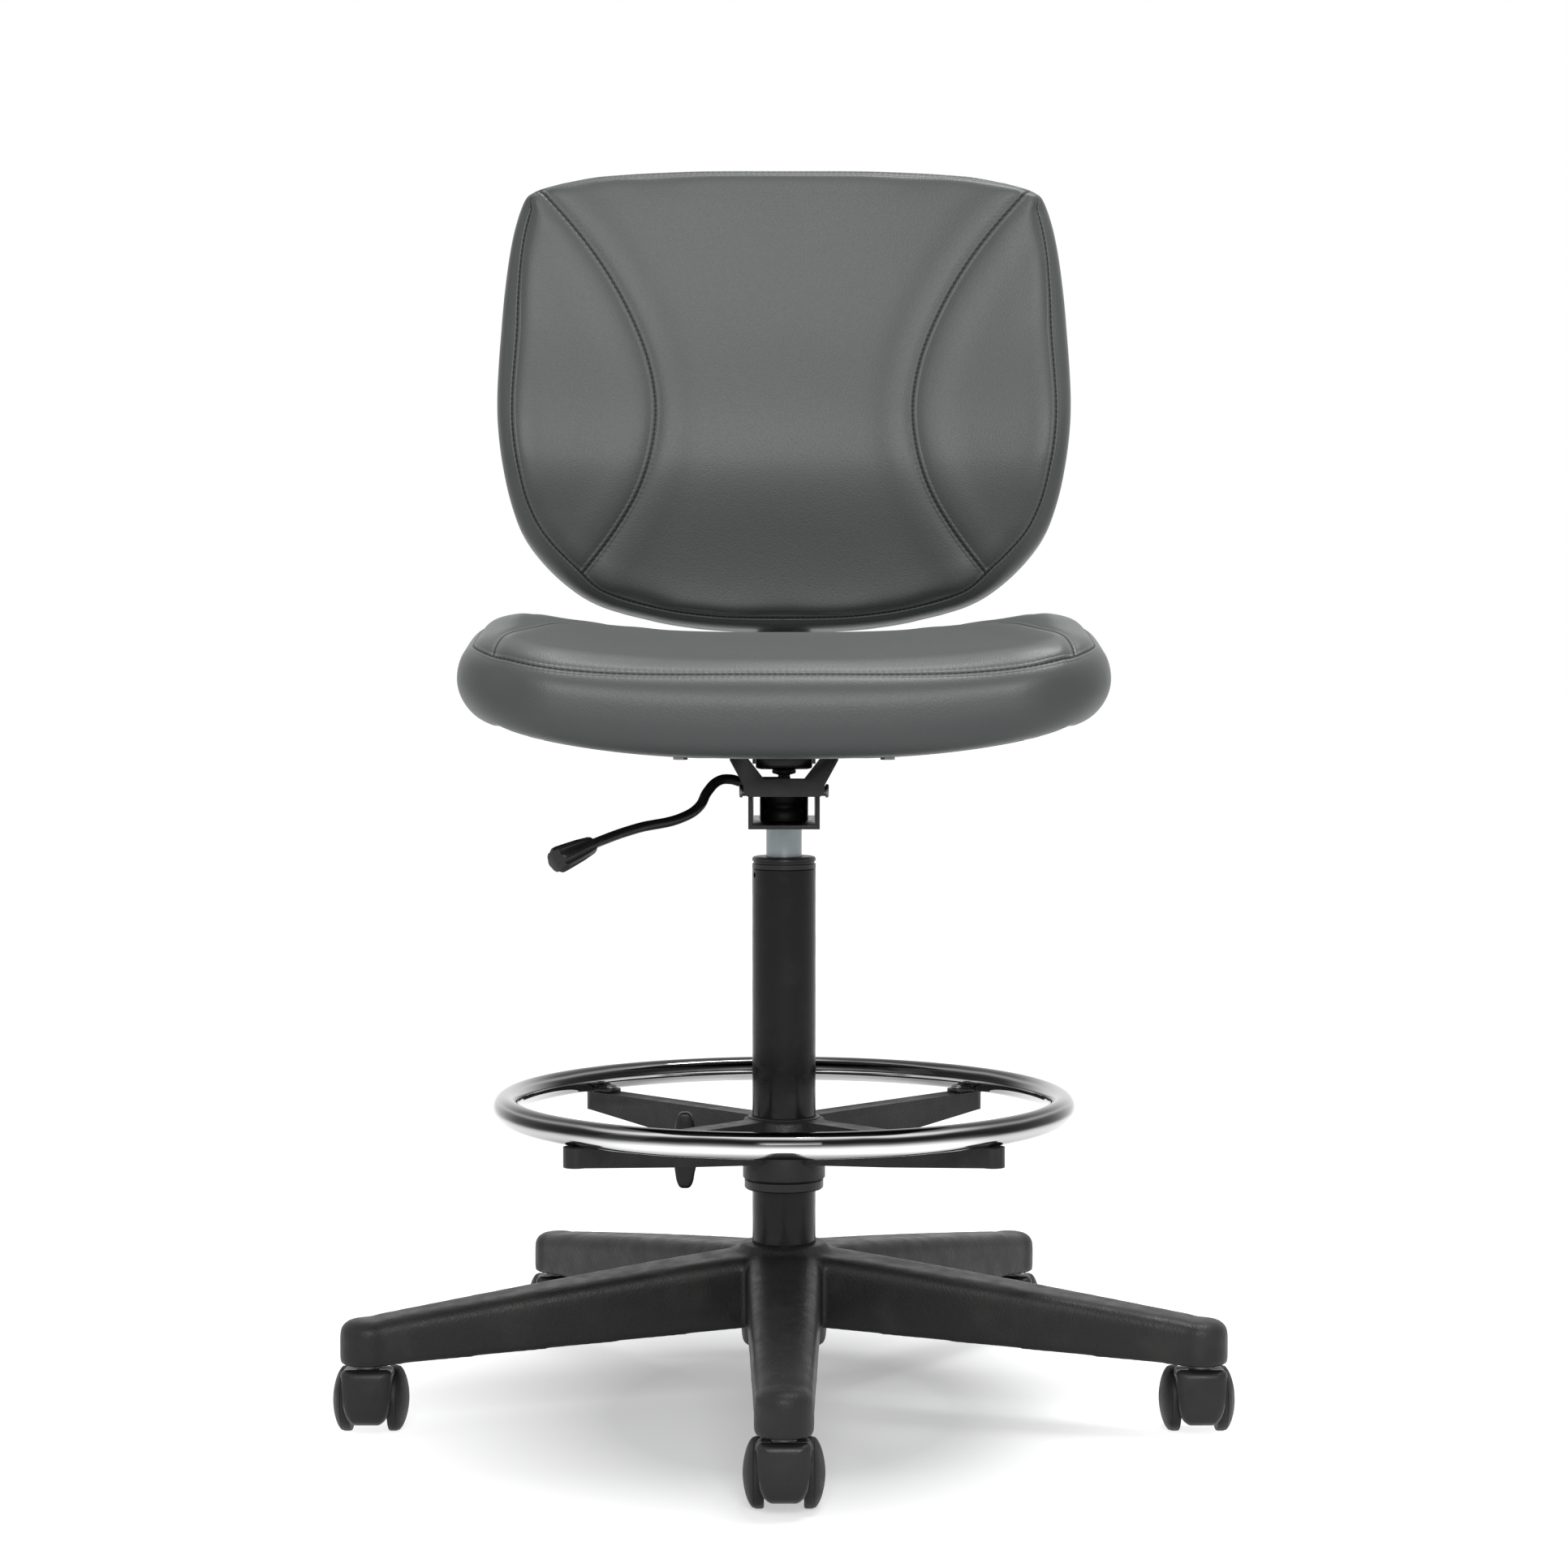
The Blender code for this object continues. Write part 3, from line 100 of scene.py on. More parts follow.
class Bench:
    """The modelling steps that every piece is made with."""

    @staticmethod
    def clear() -> None:
        """Leaves edit mode and deselects everything."""
        if bpy.context.mode != "OBJECT":
            bpy.ops.object.mode_set(mode="OBJECT")
        bpy.ops.object.select_all(action="DESELECT")

    @classmethod
    def take(cls, *pieces: Object) -> Object:
        """Selects only these pieces and makes the first one active.

        Args:
            pieces: the pieces to work on.

        Returns:
            The active piece.
        """
        cls.clear()
        for piece in pieces:
            piece.select_set(True)
        bpy.context.view_layer.objects.active = pieces[0]
        return pieces[0]

    @classmethod
    def edit(cls, piece: Object, kind: Pick = Pick.FACES, all_on: bool = False) -> None:
        """Opens a piece in edit mode.

        Args:
            piece: the mesh to open.
            kind: what is selected from here on.
            all_on: whether everything starts out selected.
        """
        cls.take(piece)
        bpy.ops.object.mode_set(mode="EDIT")
        bpy.ops.mesh.select_mode(type=kind.value)
        bpy.ops.mesh.select_all(action="SELECT" if all_on else "DESELECT")

    @staticmethod
    def pick(piece: Object, kind: Pick, test: Callable[[Vector, Vector], bool]) -> None:
        """Selects what passes a test in edit mode, and nothing else.

        Args:
            piece: the mesh being edited.
            kind: points, edges or faces.
            test: takes an element's middle and its direction, and says whether it is wanted.
        """
        bpy.ops.mesh.select_mode(type=kind.value)
        bpy.ops.mesh.select_all(action="DESELECT")
        shape = bmesh.from_edit_mesh(piece.data)
        if kind is Pick.POINTS:
            rows = [(point, point.co, point.normal) for point in shape.verts]
        elif kind is Pick.EDGES:
            ends = [(edge, *(point.co for point in edge.verts)) for edge in shape.edges]
            rows = [(edge, (a + b) / 2, (b - a).normalized()) for edge, a, b in ends]
        else:
            rows = [(face, face.calc_center_median(), face.normal) for face in shape.faces]
        for element, middle, direction in rows:
            if test(middle, direction):
                element.select_set(True)
        shape.select_flush(True)
        bmesh.update_edit_mesh(piece.data)

    @classmethod
    def close(cls, piece: Object, merge: float = 1e-6) -> Object:
        """Merges doubled points, turns the faces outwards and leaves edit mode.

        Args:
            piece: the mesh to finish.
            merge: how near two points are to be one.

        Returns:
            The piece.
        """
        cls.edit(piece, Pick.POINTS, all_on=True)
        bpy.ops.mesh.remove_doubles(threshold=merge)
        bpy.ops.mesh.normals_make_consistent(inside=False)
        bpy.ops.object.mode_set(mode="OBJECT")
        return piece

    @classmethod
    def settle(cls, piece: Object) -> Object:
        """Puts a piece's place, turn and scale into its mesh."""
        cls.take(piece)
        bpy.ops.object.transform_apply(location=True, rotation=True, scale=True)
        return piece

    @classmethod
    def modify(cls, piece: Object, kind: str, **settings: object) -> Object:
        """Adds a modifier and applies it at once.

        Args:
            piece: the mesh to change.
            kind: the modifier's type.
            settings: its settings by name.

        Returns:
            The piece.
        """
        cls.take(piece)
        step = piece.modifiers.new(kind.title(), kind)
        for name, value in settings.items():
            setattr(step, name, value)
        bpy.ops.object.modifier_apply(modifier=step.name)
        return piece

    @classmethod
    def soften(cls, piece: Object, width: float, segments: int = 2, angle: float = 32.0) -> Object:
        """Rounds every edge sharper than an angle, in degrees."""
        return cls.modify(
            piece,
            "BEVEL",
            width=width,
            segments=segments,
            limit_method="ANGLE",
            angle_limit=math.radians(angle),
            use_clamp_overlap=True,
        )

    @classmethod
    def cut(cls, piece: Object, cutter: Object, solver: str = "EXACT") -> Object:
        """Takes a cutter's shape out of a piece and removes the cutter."""
        return cls.boolean(piece, cutter, "DIFFERENCE", solver)

    @classmethod
    def boolean(cls, piece: Object, other: Object, operation: str, solver: str) -> Object:
        """Combines a piece with another and removes the other.

        Args:
            piece: the mesh that stays.
            other: the mesh that is used up.
            operation: DIFFERENCE or UNION.
            solver: the Boolean's solver.

        Returns:
            The piece.
        """
        cls.modify(piece, "BOOLEAN", operation=operation, solver=solver, object=other)
        bpy.data.objects.remove(other, do_unlink=True)
        return piece

    @classmethod
    def join(cls, *pieces: Object) -> Object:
        """Makes several meshes one object."""
        cls.take(*pieces)
        bpy.ops.object.join()
        return pieces[0]

    @classmethod
    def copy(cls, piece: Object) -> Object:
        """A copy of a piece with its own mesh."""
        cls.take(piece)
        bpy.ops.object.duplicate(linked=False)
        return bpy.context.view_layer.objects.active

    @classmethod
    def place(
        cls, piece: Object, at: Point = (0.0, 0.0, 0.0), turn: Point = (0.0, 0.0, 0.0)
    ) -> Object:
        """Turns and moves a piece, and puts both into its mesh.

        Args:
            piece: the piece, its own middle at the origin.
            at: where it goes.
            turn: Euler angles in radians.

        Returns:
            The piece.
        """
        piece.rotation_euler = turn
        piece.location = at
        return cls.settle(piece)

    @classmethod
    def turned(cls, name: str, profile: Profile, sides: int = 64, open_end: bool = False) -> Object:
        """A round piece about +Z, drawn up ring by ring from a circle.

        Args:
            name: the object's name.
            profile: (radius, height) from the first ring to the last.
            sides: how many sides the circle has.
            open_end: leaves both ends open, for a profile that comes back to where it began.

        Returns:
            The closed piece.
        """
        cls.clear()
        (radius, height), *rest = profile
        bpy.ops.mesh.primitive_circle_add(
            vertices=sides,
            radius=radius,
            fill_type="NOTHING" if open_end else "NGON",
            location=(0.0, 0.0, height),
        )
        piece = bpy.context.object
        piece.name = name
        cls.settle(piece)
        cls.edit(piece, Pick.EDGES if open_end else Pick.FACES, all_on=True)
        for wider, higher in rest:
            bpy.ops.mesh.extrude_region_move(
                TRANSFORM_OT_translate={"value": (0.0, 0.0, higher - height)}
            )
            share = wider / radius
            bpy.ops.transform.resize(
                value=(share, share, 1.0), center_override=(0.0, 0.0, higher)
            )
            radius, height = wider, higher
        bpy.ops.object.mode_set(mode="OBJECT")
        return cls.close(piece)

    @classmethod
    def bar(cls, name: str, stations: Sequence[tuple[float, float, float, float]]) -> Object:
        """A four-sided bar along +X.

        Args:
            name: the object's name.
            stations: (x, low z, high z, width) from one end to the other.

        Returns:
            The closed bar.
        """
        cls.clear()
        x, low, high, width = stations[0]
        bpy.ops.mesh.primitive_plane_add(
            size=1.0, location=(x, 0.0, (low + high) / 2), rotation=(0.0, math.pi / 2, 0.0)
        )
        piece = bpy.context.object
        piece.name = name
        cls.settle(piece)
        cls.edit(piece, Pick.FACES, all_on=True)
        middle, height = (low + high) / 2, high - low
        bpy.ops.transform.resize(value=(1.0, width, height), center_override=(x, 0.0, middle))
        for reach, lower, upper, wide in stations[1:]:
            centre, tall = (lower + upper) / 2, upper - lower
            bpy.ops.mesh.extrude_region_move(
                TRANSFORM_OT_translate={"value": (reach - x, 0.0, centre - middle)}
            )
            bpy.ops.transform.resize(
                value=(1.0, wide / width, tall / height), center_override=(reach, 0.0, centre)
            )
            x, middle, height, width = reach, centre, tall, wide
        bpy.ops.object.mode_set(mode="OBJECT")
        return cls.close(piece)

    @classmethod
    def drawn(
        cls, name: str, knots: Sequence[Point], looped: bool, merge: float, **settings: object
    ) -> Object:
        """A mesh from a smooth path.

        Args:
            name: the object's name.
            knots: the points that the path passes through.
            looped: whether it comes back to its first point.
            merge: how near two points of the mesh are to be one.
            settings: the curve's settings by name.

        Returns:
            The closed mesh.
        """
        cls.clear()
        curve = bpy.data.curves.new(name, "CURVE")
        for setting, value in settings.items():
            setattr(curve, setting, value)
        spline = curve.splines.new("BEZIER")
        spline.bezier_points.add(len(knots) - 1)
        for knot, place in zip(spline.bezier_points, knots, strict=True):
            knot.co = place
            knot.handle_left_type = knot.handle_right_type = "AUTO"
        spline.use_cyclic_u = looped
        piece = bpy.data.objects.new(name, curve)
        bpy.context.collection.objects.link(piece)
        cls.take(piece)
        bpy.ops.object.convert(target="MESH")
        return cls.close(bpy.context.object, merge)

    @classmethod
    def rod(cls, name: str, knots: Sequence[Point], radius: float, rings: int = 6) -> Object:
        """A round bent rod.

        Args:
            name: the object's name.
            knots: the points of its centre line.
            radius: half its thickness.
            rings: the bevel resolution of its section.

        Returns:
            The closed rod.
        """
        settings = {"dimensions": "3D", "resolution_u": 8, "use_fill_caps": True}
        return cls.drawn(
            name, knots, False, 1e-6, bevel_depth=radius, bevel_resolution=rings, **settings
        )

    @classmethod
    def plate(cls, name: str, outline: Profile, thick: float, edge: float) -> Object:
        """A plate in the XY plane with a smooth outline and rounded rims.

        Args:
            name: the object's name.
            outline: (x, y) points that the rim passes through.
            thick: full thickness along Z.
            edge: radius of the rims.

        Returns:
            The closed plate.
        """
        knots = [(x, y, 0.0) for x, y in outline]
        rims = {"extrude": thick / 2 - edge, "bevel_depth": edge, "offset": -edge}
        settings = {"dimensions": "2D", "fill_mode": "BOTH", "resolution_u": 10}
        return cls.drawn(name, knots, True, 2e-5, bevel_resolution=3, **rims, **settings)

    @classmethod
    def prism(cls, name: str, loop: np.ndarray, low: float, high: float) -> Object:
        """An upright block with a free outline.

        Args:
            name: the object's name.
            loop: the outline's points as rows, anticlockwise.
            low: height of its foot.
            high: height of its top.

        Returns:
            The closed block.
        """
        cls.clear()
        bpy.ops.mesh.primitive_circle_add(vertices=len(loop), radius=1.0, fill_type="NGON")
        piece = bpy.context.object
        piece.name = name
        set_points(piece, np.column_stack([loop, np.full(len(loop), low)]))
        cls.edit(piece, Pick.FACES, all_on=True)
        bpy.ops.mesh.extrude_region_move(TRANSFORM_OT_translate={"value": (0.0, 0.0, high - low)})
        bpy.ops.object.mode_set(mode="OBJECT")
        return cls.close(piece)

    @classmethod
    def refined(cls, node: str, soft: float, segments: int) -> Object:
        """A copy of a CAD node with its flat faces made whole and its edges rounded.

        Args:
            node: the CAD node's name.
            soft: how wide the rounding is.
            segments: how many steps the rounding has.

        Returns:
            The new piece, in place in the frame.
        """
        piece = cls.copy(frame["nodes"][node])
        bpy.ops.object.parent_clear(type="CLEAR_KEEP_TRANSFORM")
        for key in list(piece.keys()):
            del piece[key]
        piece.name = f"{node}_finished"
        piece.data.materials.clear()
        bpy.ops.mesh.customdata_custom_splitnormals_clear()
        cls.edit(piece, Pick.POINTS, all_on=True)
        bpy.ops.mesh.remove_doubles(threshold=1e-5)
        bpy.ops.mesh.dissolve_limited(angle_limit=math.radians(1.0))
        bpy.ops.object.mode_set(mode="OBJECT")
        return cls.soften(piece, soft, segments)

    @classmethod
    def finish(
        cls,
        piece: Object,
        name: str,
        body: str,
        finish: "Finish",
        *nodes: str,
        in_frame: bool = False,
        angle: float = 38.0,
    ) -> Object:
        """Dresses a piece, puts it in the frame and hangs it on its body.

        Args:
            piece: the finished mesh.
            name: its name.
            body: the CAD body that it rides on.
            finish: its finish.
            nodes: the CAD nodes that it stands for.
            in_frame: whether its mesh is already where the frame has it.
            angle: edges sharper than this, in degrees, stay sharp.

        Returns:
            The piece.
        """
        piece.name = name
        piece.data.name = name
        if not in_frame:
            piece.location.y += COLUMN_Y
        cls.settle(piece)
        bpy.ops.object.shade_smooth_by_angle(angle=math.radians(angle))
        piece.data.materials.clear()
        piece.data.materials.append(finish.material())
        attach(piece, body)
        if nodes:
            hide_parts(*nodes)
        return piece

    @classmethod
    def stand_in(
        cls, piece: Object, node: str, body: str, finish: "Finish", **options: object
    ) -> Object:
        """Finishes a piece that stands for one CAD node and takes its name from it.

        Args:
            piece: the finished mesh.
            node: the CAD node.
            body: the CAD body that it rides on.
            finish: its finish.
            options: what finish takes besides.

        Returns:
            The piece.
        """
        return cls.finish(piece, f"{node}_finished", body, finish, node, **options)


# ---------------------------------------------------------------- finishes


class Nodes:
    """A node tree while it is being made."""

    def __init__(self, tree: bpy.types.NodeTree) -> None:
        """Starts on a tree."""
        self.tree = tree

    def node(self, kind: str, **settings: object) -> bpy.types.Node:
        """Adds a node and sets its attributes."""
        made = self.tree.nodes.new(kind)
        for name, value in settings.items():
            setattr(made, name, value)
        return made

    def feed(self, socket: bpy.types.NodeSocket, value: object) -> None:
        """Links an output to a socket, or sets the socket's value."""
        if isinstance(value, bpy.types.NodeSocket):
            self.tree.links.new(value, socket)
        else:
            socket.default_value = value

    def wire(self, kind: str, *values: object, **settings: object) -> bpy.types.NodeSocket:
        """Adds a node, feeds its inputs in their order and gives its first output."""
        made = self.node(kind, **settings)
        for socket, value in zip(made.inputs, values, strict=False):
            self.feed(socket, value)
        return made.outputs[0]

    def maths(self, operation: str, *values: object, clamp: bool = False) -> bpy.types.NodeSocket:
        """A Math node's output."""
        return self.wire("ShaderNodeMath", *values, operation=operation, use_clamp=clamp)


class Shader(Nodes):
    """The Principled material of one finish while it is being made."""

    def __init__(self, name: str, colour: Point, roughness: float, metallic: float = 0.0) -> None:
        """Starts a Principled material.

        Args:
            name: the material's name.
            colour: linear base colour.
            roughness: base roughness.
            metallic: 0 or 1.
        """
        self.material = bpy.data.materials.new(name)
        self.material.use_nodes = True
        super().__init__(self.material.node_tree)
        self.out = self.tree.nodes["Principled BSDF"]
        self.out.inputs["Base Color"].default_value = (*colour, 1.0)
        self.out.inputs["Roughness"].default_value = roughness
        self.out.inputs["Metallic"].default_value = metallic
        self.place = self.node("ShaderNodeTexCoord").outputs["Object"]

    def stretched(self, scale: Point) -> bpy.types.NodeSocket:
        """Object coordinates scaled along each axis."""
        made = self.node("ShaderNodeMapping")
        self.feed(made.inputs["Vector"], self.place)
        self.feed(made.inputs["Scale"], scale)
        return made.outputs[0]

    def noise(
        self, scale: float, detail: float = 2.0, at: bpy.types.NodeSocket | None = None
    ) -> bpy.types.NodeSocket:
        """A noise value between about 0.3 and 0.7.

        Args:
            scale: cells per metre.
            detail: octaves.
            at: the coordinates, or the object's own.

        Returns:
            The noise's output.
        """
        made = self.node("ShaderNodeTexNoise")
        self.feed(made.inputs["Vector"], at or self.place)
        made.inputs["Scale"].default_value = scale
        made.inputs["Detail"].default_value = detail
        return made.outputs["Fac"]

    def cells(self, scale: float, smooth: float) -> bpy.types.NodeSocket:
        """Distance from the middle of rounded cells, as in leather or pebble grain."""
        made = self.node("ShaderNodeTexVoronoi", feature="SMOOTH_F1")
        self.feed(made.inputs["Vector"], self.place)
        made.inputs["Scale"].default_value = scale
        made.inputs["Smoothness"].default_value = smooth
        return made.outputs["Distance"]

    def span(
        self, value: object, low: float, high: float, first: float = 0.0, last: float = 1.0
    ) -> bpy.types.NodeSocket:
        """Maps low..high smoothly onto first..last.

        Args:
            value: what is mapped.
            low: where the change begins.
            high: where it ends.
            first: the result up to low.
            last: the result from high on.

        Returns:
            The mapped value.
        """
        row = (value, low, high, first, last)
        return self.wire("ShaderNodeMapRange", *row, interpolation_type="SMOOTHSTEP", clamp=True)

    def blend(self, share: object, first: object, second: object) -> bpy.types.NodeSocket:
        """Mixes two colours."""
        made = self.node("ShaderNodeMix", data_type="RGBA")
        self.feed(made.inputs["Factor"], share)
        for socket, value in ((made.inputs[6], first), (made.inputs[7], second)):
            self.feed(socket, (*value, 1.0) if isinstance(value, tuple) else value)
        return made.outputs[2]

    def attribute(self, name: str) -> bpy.types.NodeSocket:
        """A value stored on the piece's points."""
        return self.node("ShaderNodeAttribute", attribute_name=name).outputs["Fac"]

    def relief(self, height: object, depth: float, strength: float = 1.0) -> None:
        """Adds bumps on top of those already there.

        Args:
            height: 0..1 height of the surface.
            depth: how far 1 stands out, in metres.
            strength: share of the relief that shows.
        """
        made = self.node("ShaderNodeBump")
        made.inputs["Strength"].default_value = strength
        made.inputs["Distance"].default_value = depth
        self.feed(made.inputs["Height"], height)
        earlier = self.out.inputs["Normal"]
        if earlier.is_linked:
            self.feed(made.inputs["Normal"], earlier.links[0].from_socket)
        self.feed(earlier, made.outputs["Normal"])

    def set(self, **sockets: object) -> None:
        """Sets or links sockets of the shader, their spaces written as underscores."""
        for name, value in sockets.items():
            self.feed(self.out.inputs[name.replace("_", " ")], value)


@dataclass(frozen=True)
class Finish:
    """A surface finish, made once and shared by its pieces."""

    name: str
    slot: str

    def material(self) -> bpy.types.Material:
        """The finish's material."""
        return bpy.data.materials.get(self.name) or self.make()

    def make(self) -> bpy.types.Material:
        """Builds the material."""
        raise NotImplementedError


@dataclass(frozen=True)
class Leatherette(Finish):
    """Fine-grained coated upholstery with its seams and stitches."""

    face: Point = (0.0530, 0.0590, 0.0575)
    worn: Point = (0.0565, 0.0625, 0.0605)
    crease: Point = (0.006, 0.007, 0.007)
    stitch: float = 0.0046

    def make(self) -> bpy.types.Material:
        """Builds the leather with grain, soft mottling and stitched seams."""
        work = Shader(self.name, self.face, 0.42)
        mottled = work.span(work.noise(9.0, 3.0), 0.35, 0.68)
        colour = work.blend(mottled, self.face, self.worn)
        grain = work.maths("SUBTRACT", 1.0, work.cells(760.0, 0.5))
        pores = work.noise(2300.0, 2.0)
        work.relief(work.noise(38.0, 1.0), 0.00025, 0.35)
        work.relief(grain, 0.00018, 0.5)
        work.relief(pores, 0.00006, 0.6)
        rough = work.span(work.noise(900.0, 2.0), 0.3, 0.7, 0.41, 0.47)
        colour, rough = self.sew(work, colour, rough)
        work.set(Base_Color=colour, Roughness=rough, Specular_IOR_Level=0.36, Coat_Weight=0.06)
        work.set(Coat_Roughness=0.32, Sheen_Weight=0.05, Sheen_Roughness=0.45)
        return work.material

    def sew(
        self, work: Shader, colour: bpy.types.NodeSocket, rough: bpy.types.NodeSocket
    ) -> tuple[bpy.types.NodeSocket, bpy.types.NodeSocket]:
        """Draws the seams from the distances that the cushion stores on its points.

        Args:
            work: the material.
            colour: its colour so far.
            rough: its roughness so far.

        Returns:
            The colour and the roughness with the seams in them.
        """
        rim = work.attribute("rim_seam")
        on_face = work.span(rim, 0.0, 0.0010)
        for name, run, share in (("rim", "rim_run", None), ("panel", "panel_run", on_face)):
            across = work.attribute(f"{name}_seam")
            away = work.maths("ABSOLUTE", across)
            step = work.maths("DIVIDE", work.attribute(run), self.stitch)
            beat = work.maths("PINGPONG", step, 0.5)
            hole = work.span(beat, 0.10, 0.30)
            width = work.maths("MULTIPLY_ADD", hole, 0.0005, 0.0006)
            line = work.span(work.maths("DIVIDE", away, width), 0.35, 1.0, 1.0, 0.0)
            near = work.span(away, 0.0, 0.0075, 1.0, 0.0)
            pucker = work.maths("MULTIPLY", near, work.maths("MULTIPLY", beat, 2.0))
            off_lip = work.maths("ABSOLUTE", work.maths("SUBTRACT", away, 0.0022))
            lip = work.span(off_lip, 0.0, 0.0016, 1.0, 0.0)
            if share is not None:
                line, pucker, lip = (work.maths("MULTIPLY", v, share) for v in (line, pucker, lip))
            work.relief(pucker, 0.0003, 0.5)
            work.relief(lip, 0.0005, 0.8)
            work.relief(work.maths("SUBTRACT", 1.0, line), 0.0011, 1.0)
            colour = work.blend(line, colour, self.crease)
            # Painted highlight: the raised lip beside the seam is lightened.
            colour = work.blend(work.maths("MULTIPLY", lip, 0.18), colour, (0.16, 0.17, 0.17))
            rough = work.maths("MULTIPLY_ADD", line, 0.35, rough, clamp=True)
        return colour, rough


@dataclass(frozen=True)
class MouldedNylon(Finish):
    """Glass-filled nylon with a pebbled mould texture."""

    tone: Point = (0.017, 0.017, 0.017)
    rubbed: Point = (0.028, 0.0275, 0.0265)
    pebble: float = 620.0
    depth: float = 0.00022
    gloss: float = 0.40
    shine: float = 0.22

    def make(self) -> bpy.types.Material:
        """Builds the nylon with its pebbles, flow mottling and faint rubbed patches."""
        work = Shader(self.name, self.tone, self.gloss)
        patches = work.span(work.noise(22.0, 4.0), 0.48, 0.72)
        flecks = work.span(work.noise(900.0, 1.0), 0.58, 0.75, 0.0, 0.5)
        colour = work.blend(work.maths("MAXIMUM", patches, flecks), self.tone, self.rubbed)
        work.relief(work.cells(self.pebble, 0.6), self.depth, 0.8)
        work.relief(work.noise(self.pebble * 2.4, 2.0), self.depth * 0.4, 0.7)
        rough = work.span(work.noise(70.0, 3.0), 0.3, 0.7, self.gloss - 0.04, self.gloss + 0.08)
        work.set(Base_Color=colour, Roughness=rough, Specular_IOR_Level=self.shine)
        return work.material


@dataclass(frozen=True)
class PowderCoat(Finish):
    """Black powder coat over steel, with a fine orange peel."""

    tone: Point = (0.012, 0.012, 0.013)
    gloss: float = 0.28
    peel: float = 480.0
    shine: float = 0.30

    def make(self) -> bpy.types.Material:
        """Builds the coating with orange peel, dust and small rubs."""
        work = Shader(self.name, self.tone, self.gloss)
        dust = work.span(work.noise(35.0, 5.0), 0.5, 0.8, 0.0, 0.7)
        colour = work.blend(dust, self.tone, (0.024, 0.024, 0.025))
        work.relief(work.noise(self.peel, 2.0), 0.00012, 0.5)
        rough = work.span(work.noise(90.0, 4.0), 0.3, 0.75, self.gloss - 0.06, self.gloss + 0.10)
        work.set(Base_Color=colour, Roughness=rough, Specular_IOR_Level=self.shine)
        return work.material


@dataclass(frozen=True)
class BrightMetal(Finish):
    """Plated or ground metal: chrome, zinc or the gas spring's steel."""

    tone: Point = (0.86, 0.87, 0.88)
    gloss: float = 0.06
    brushing: float = 0.0
    along: Point = (1.0, 1.0, 1.0)

    def make(self) -> bpy.types.Material:
        """Builds the metal with faint smears and, where it is ground, fine lines."""
        work = Shader(self.name, self.tone, self.gloss, 1.0)
        smear = work.span(work.noise(28.0, 4.0), 0.40, 0.75)
        darker = tuple(channel * 0.88 for channel in self.tone)
        colour = work.blend(smear, self.tone, darker)
        rough = work.span(work.noise(60.0, 5.0), 0.35, 0.75, self.gloss, self.gloss + 0.07)
        if self.brushing:
            lines = work.noise(900.0, 3.0, work.stretched(self.along))
            work.relief(lines, 0.00006, self.brushing)
            rough = work.maths("MULTIPLY_ADD", lines, 0.12, rough)
        else:
            work.relief(work.noise(420.0, 3.0), 0.00002, 0.3)
        work.set(Base_Color=colour, Roughness=rough)
        return work.material


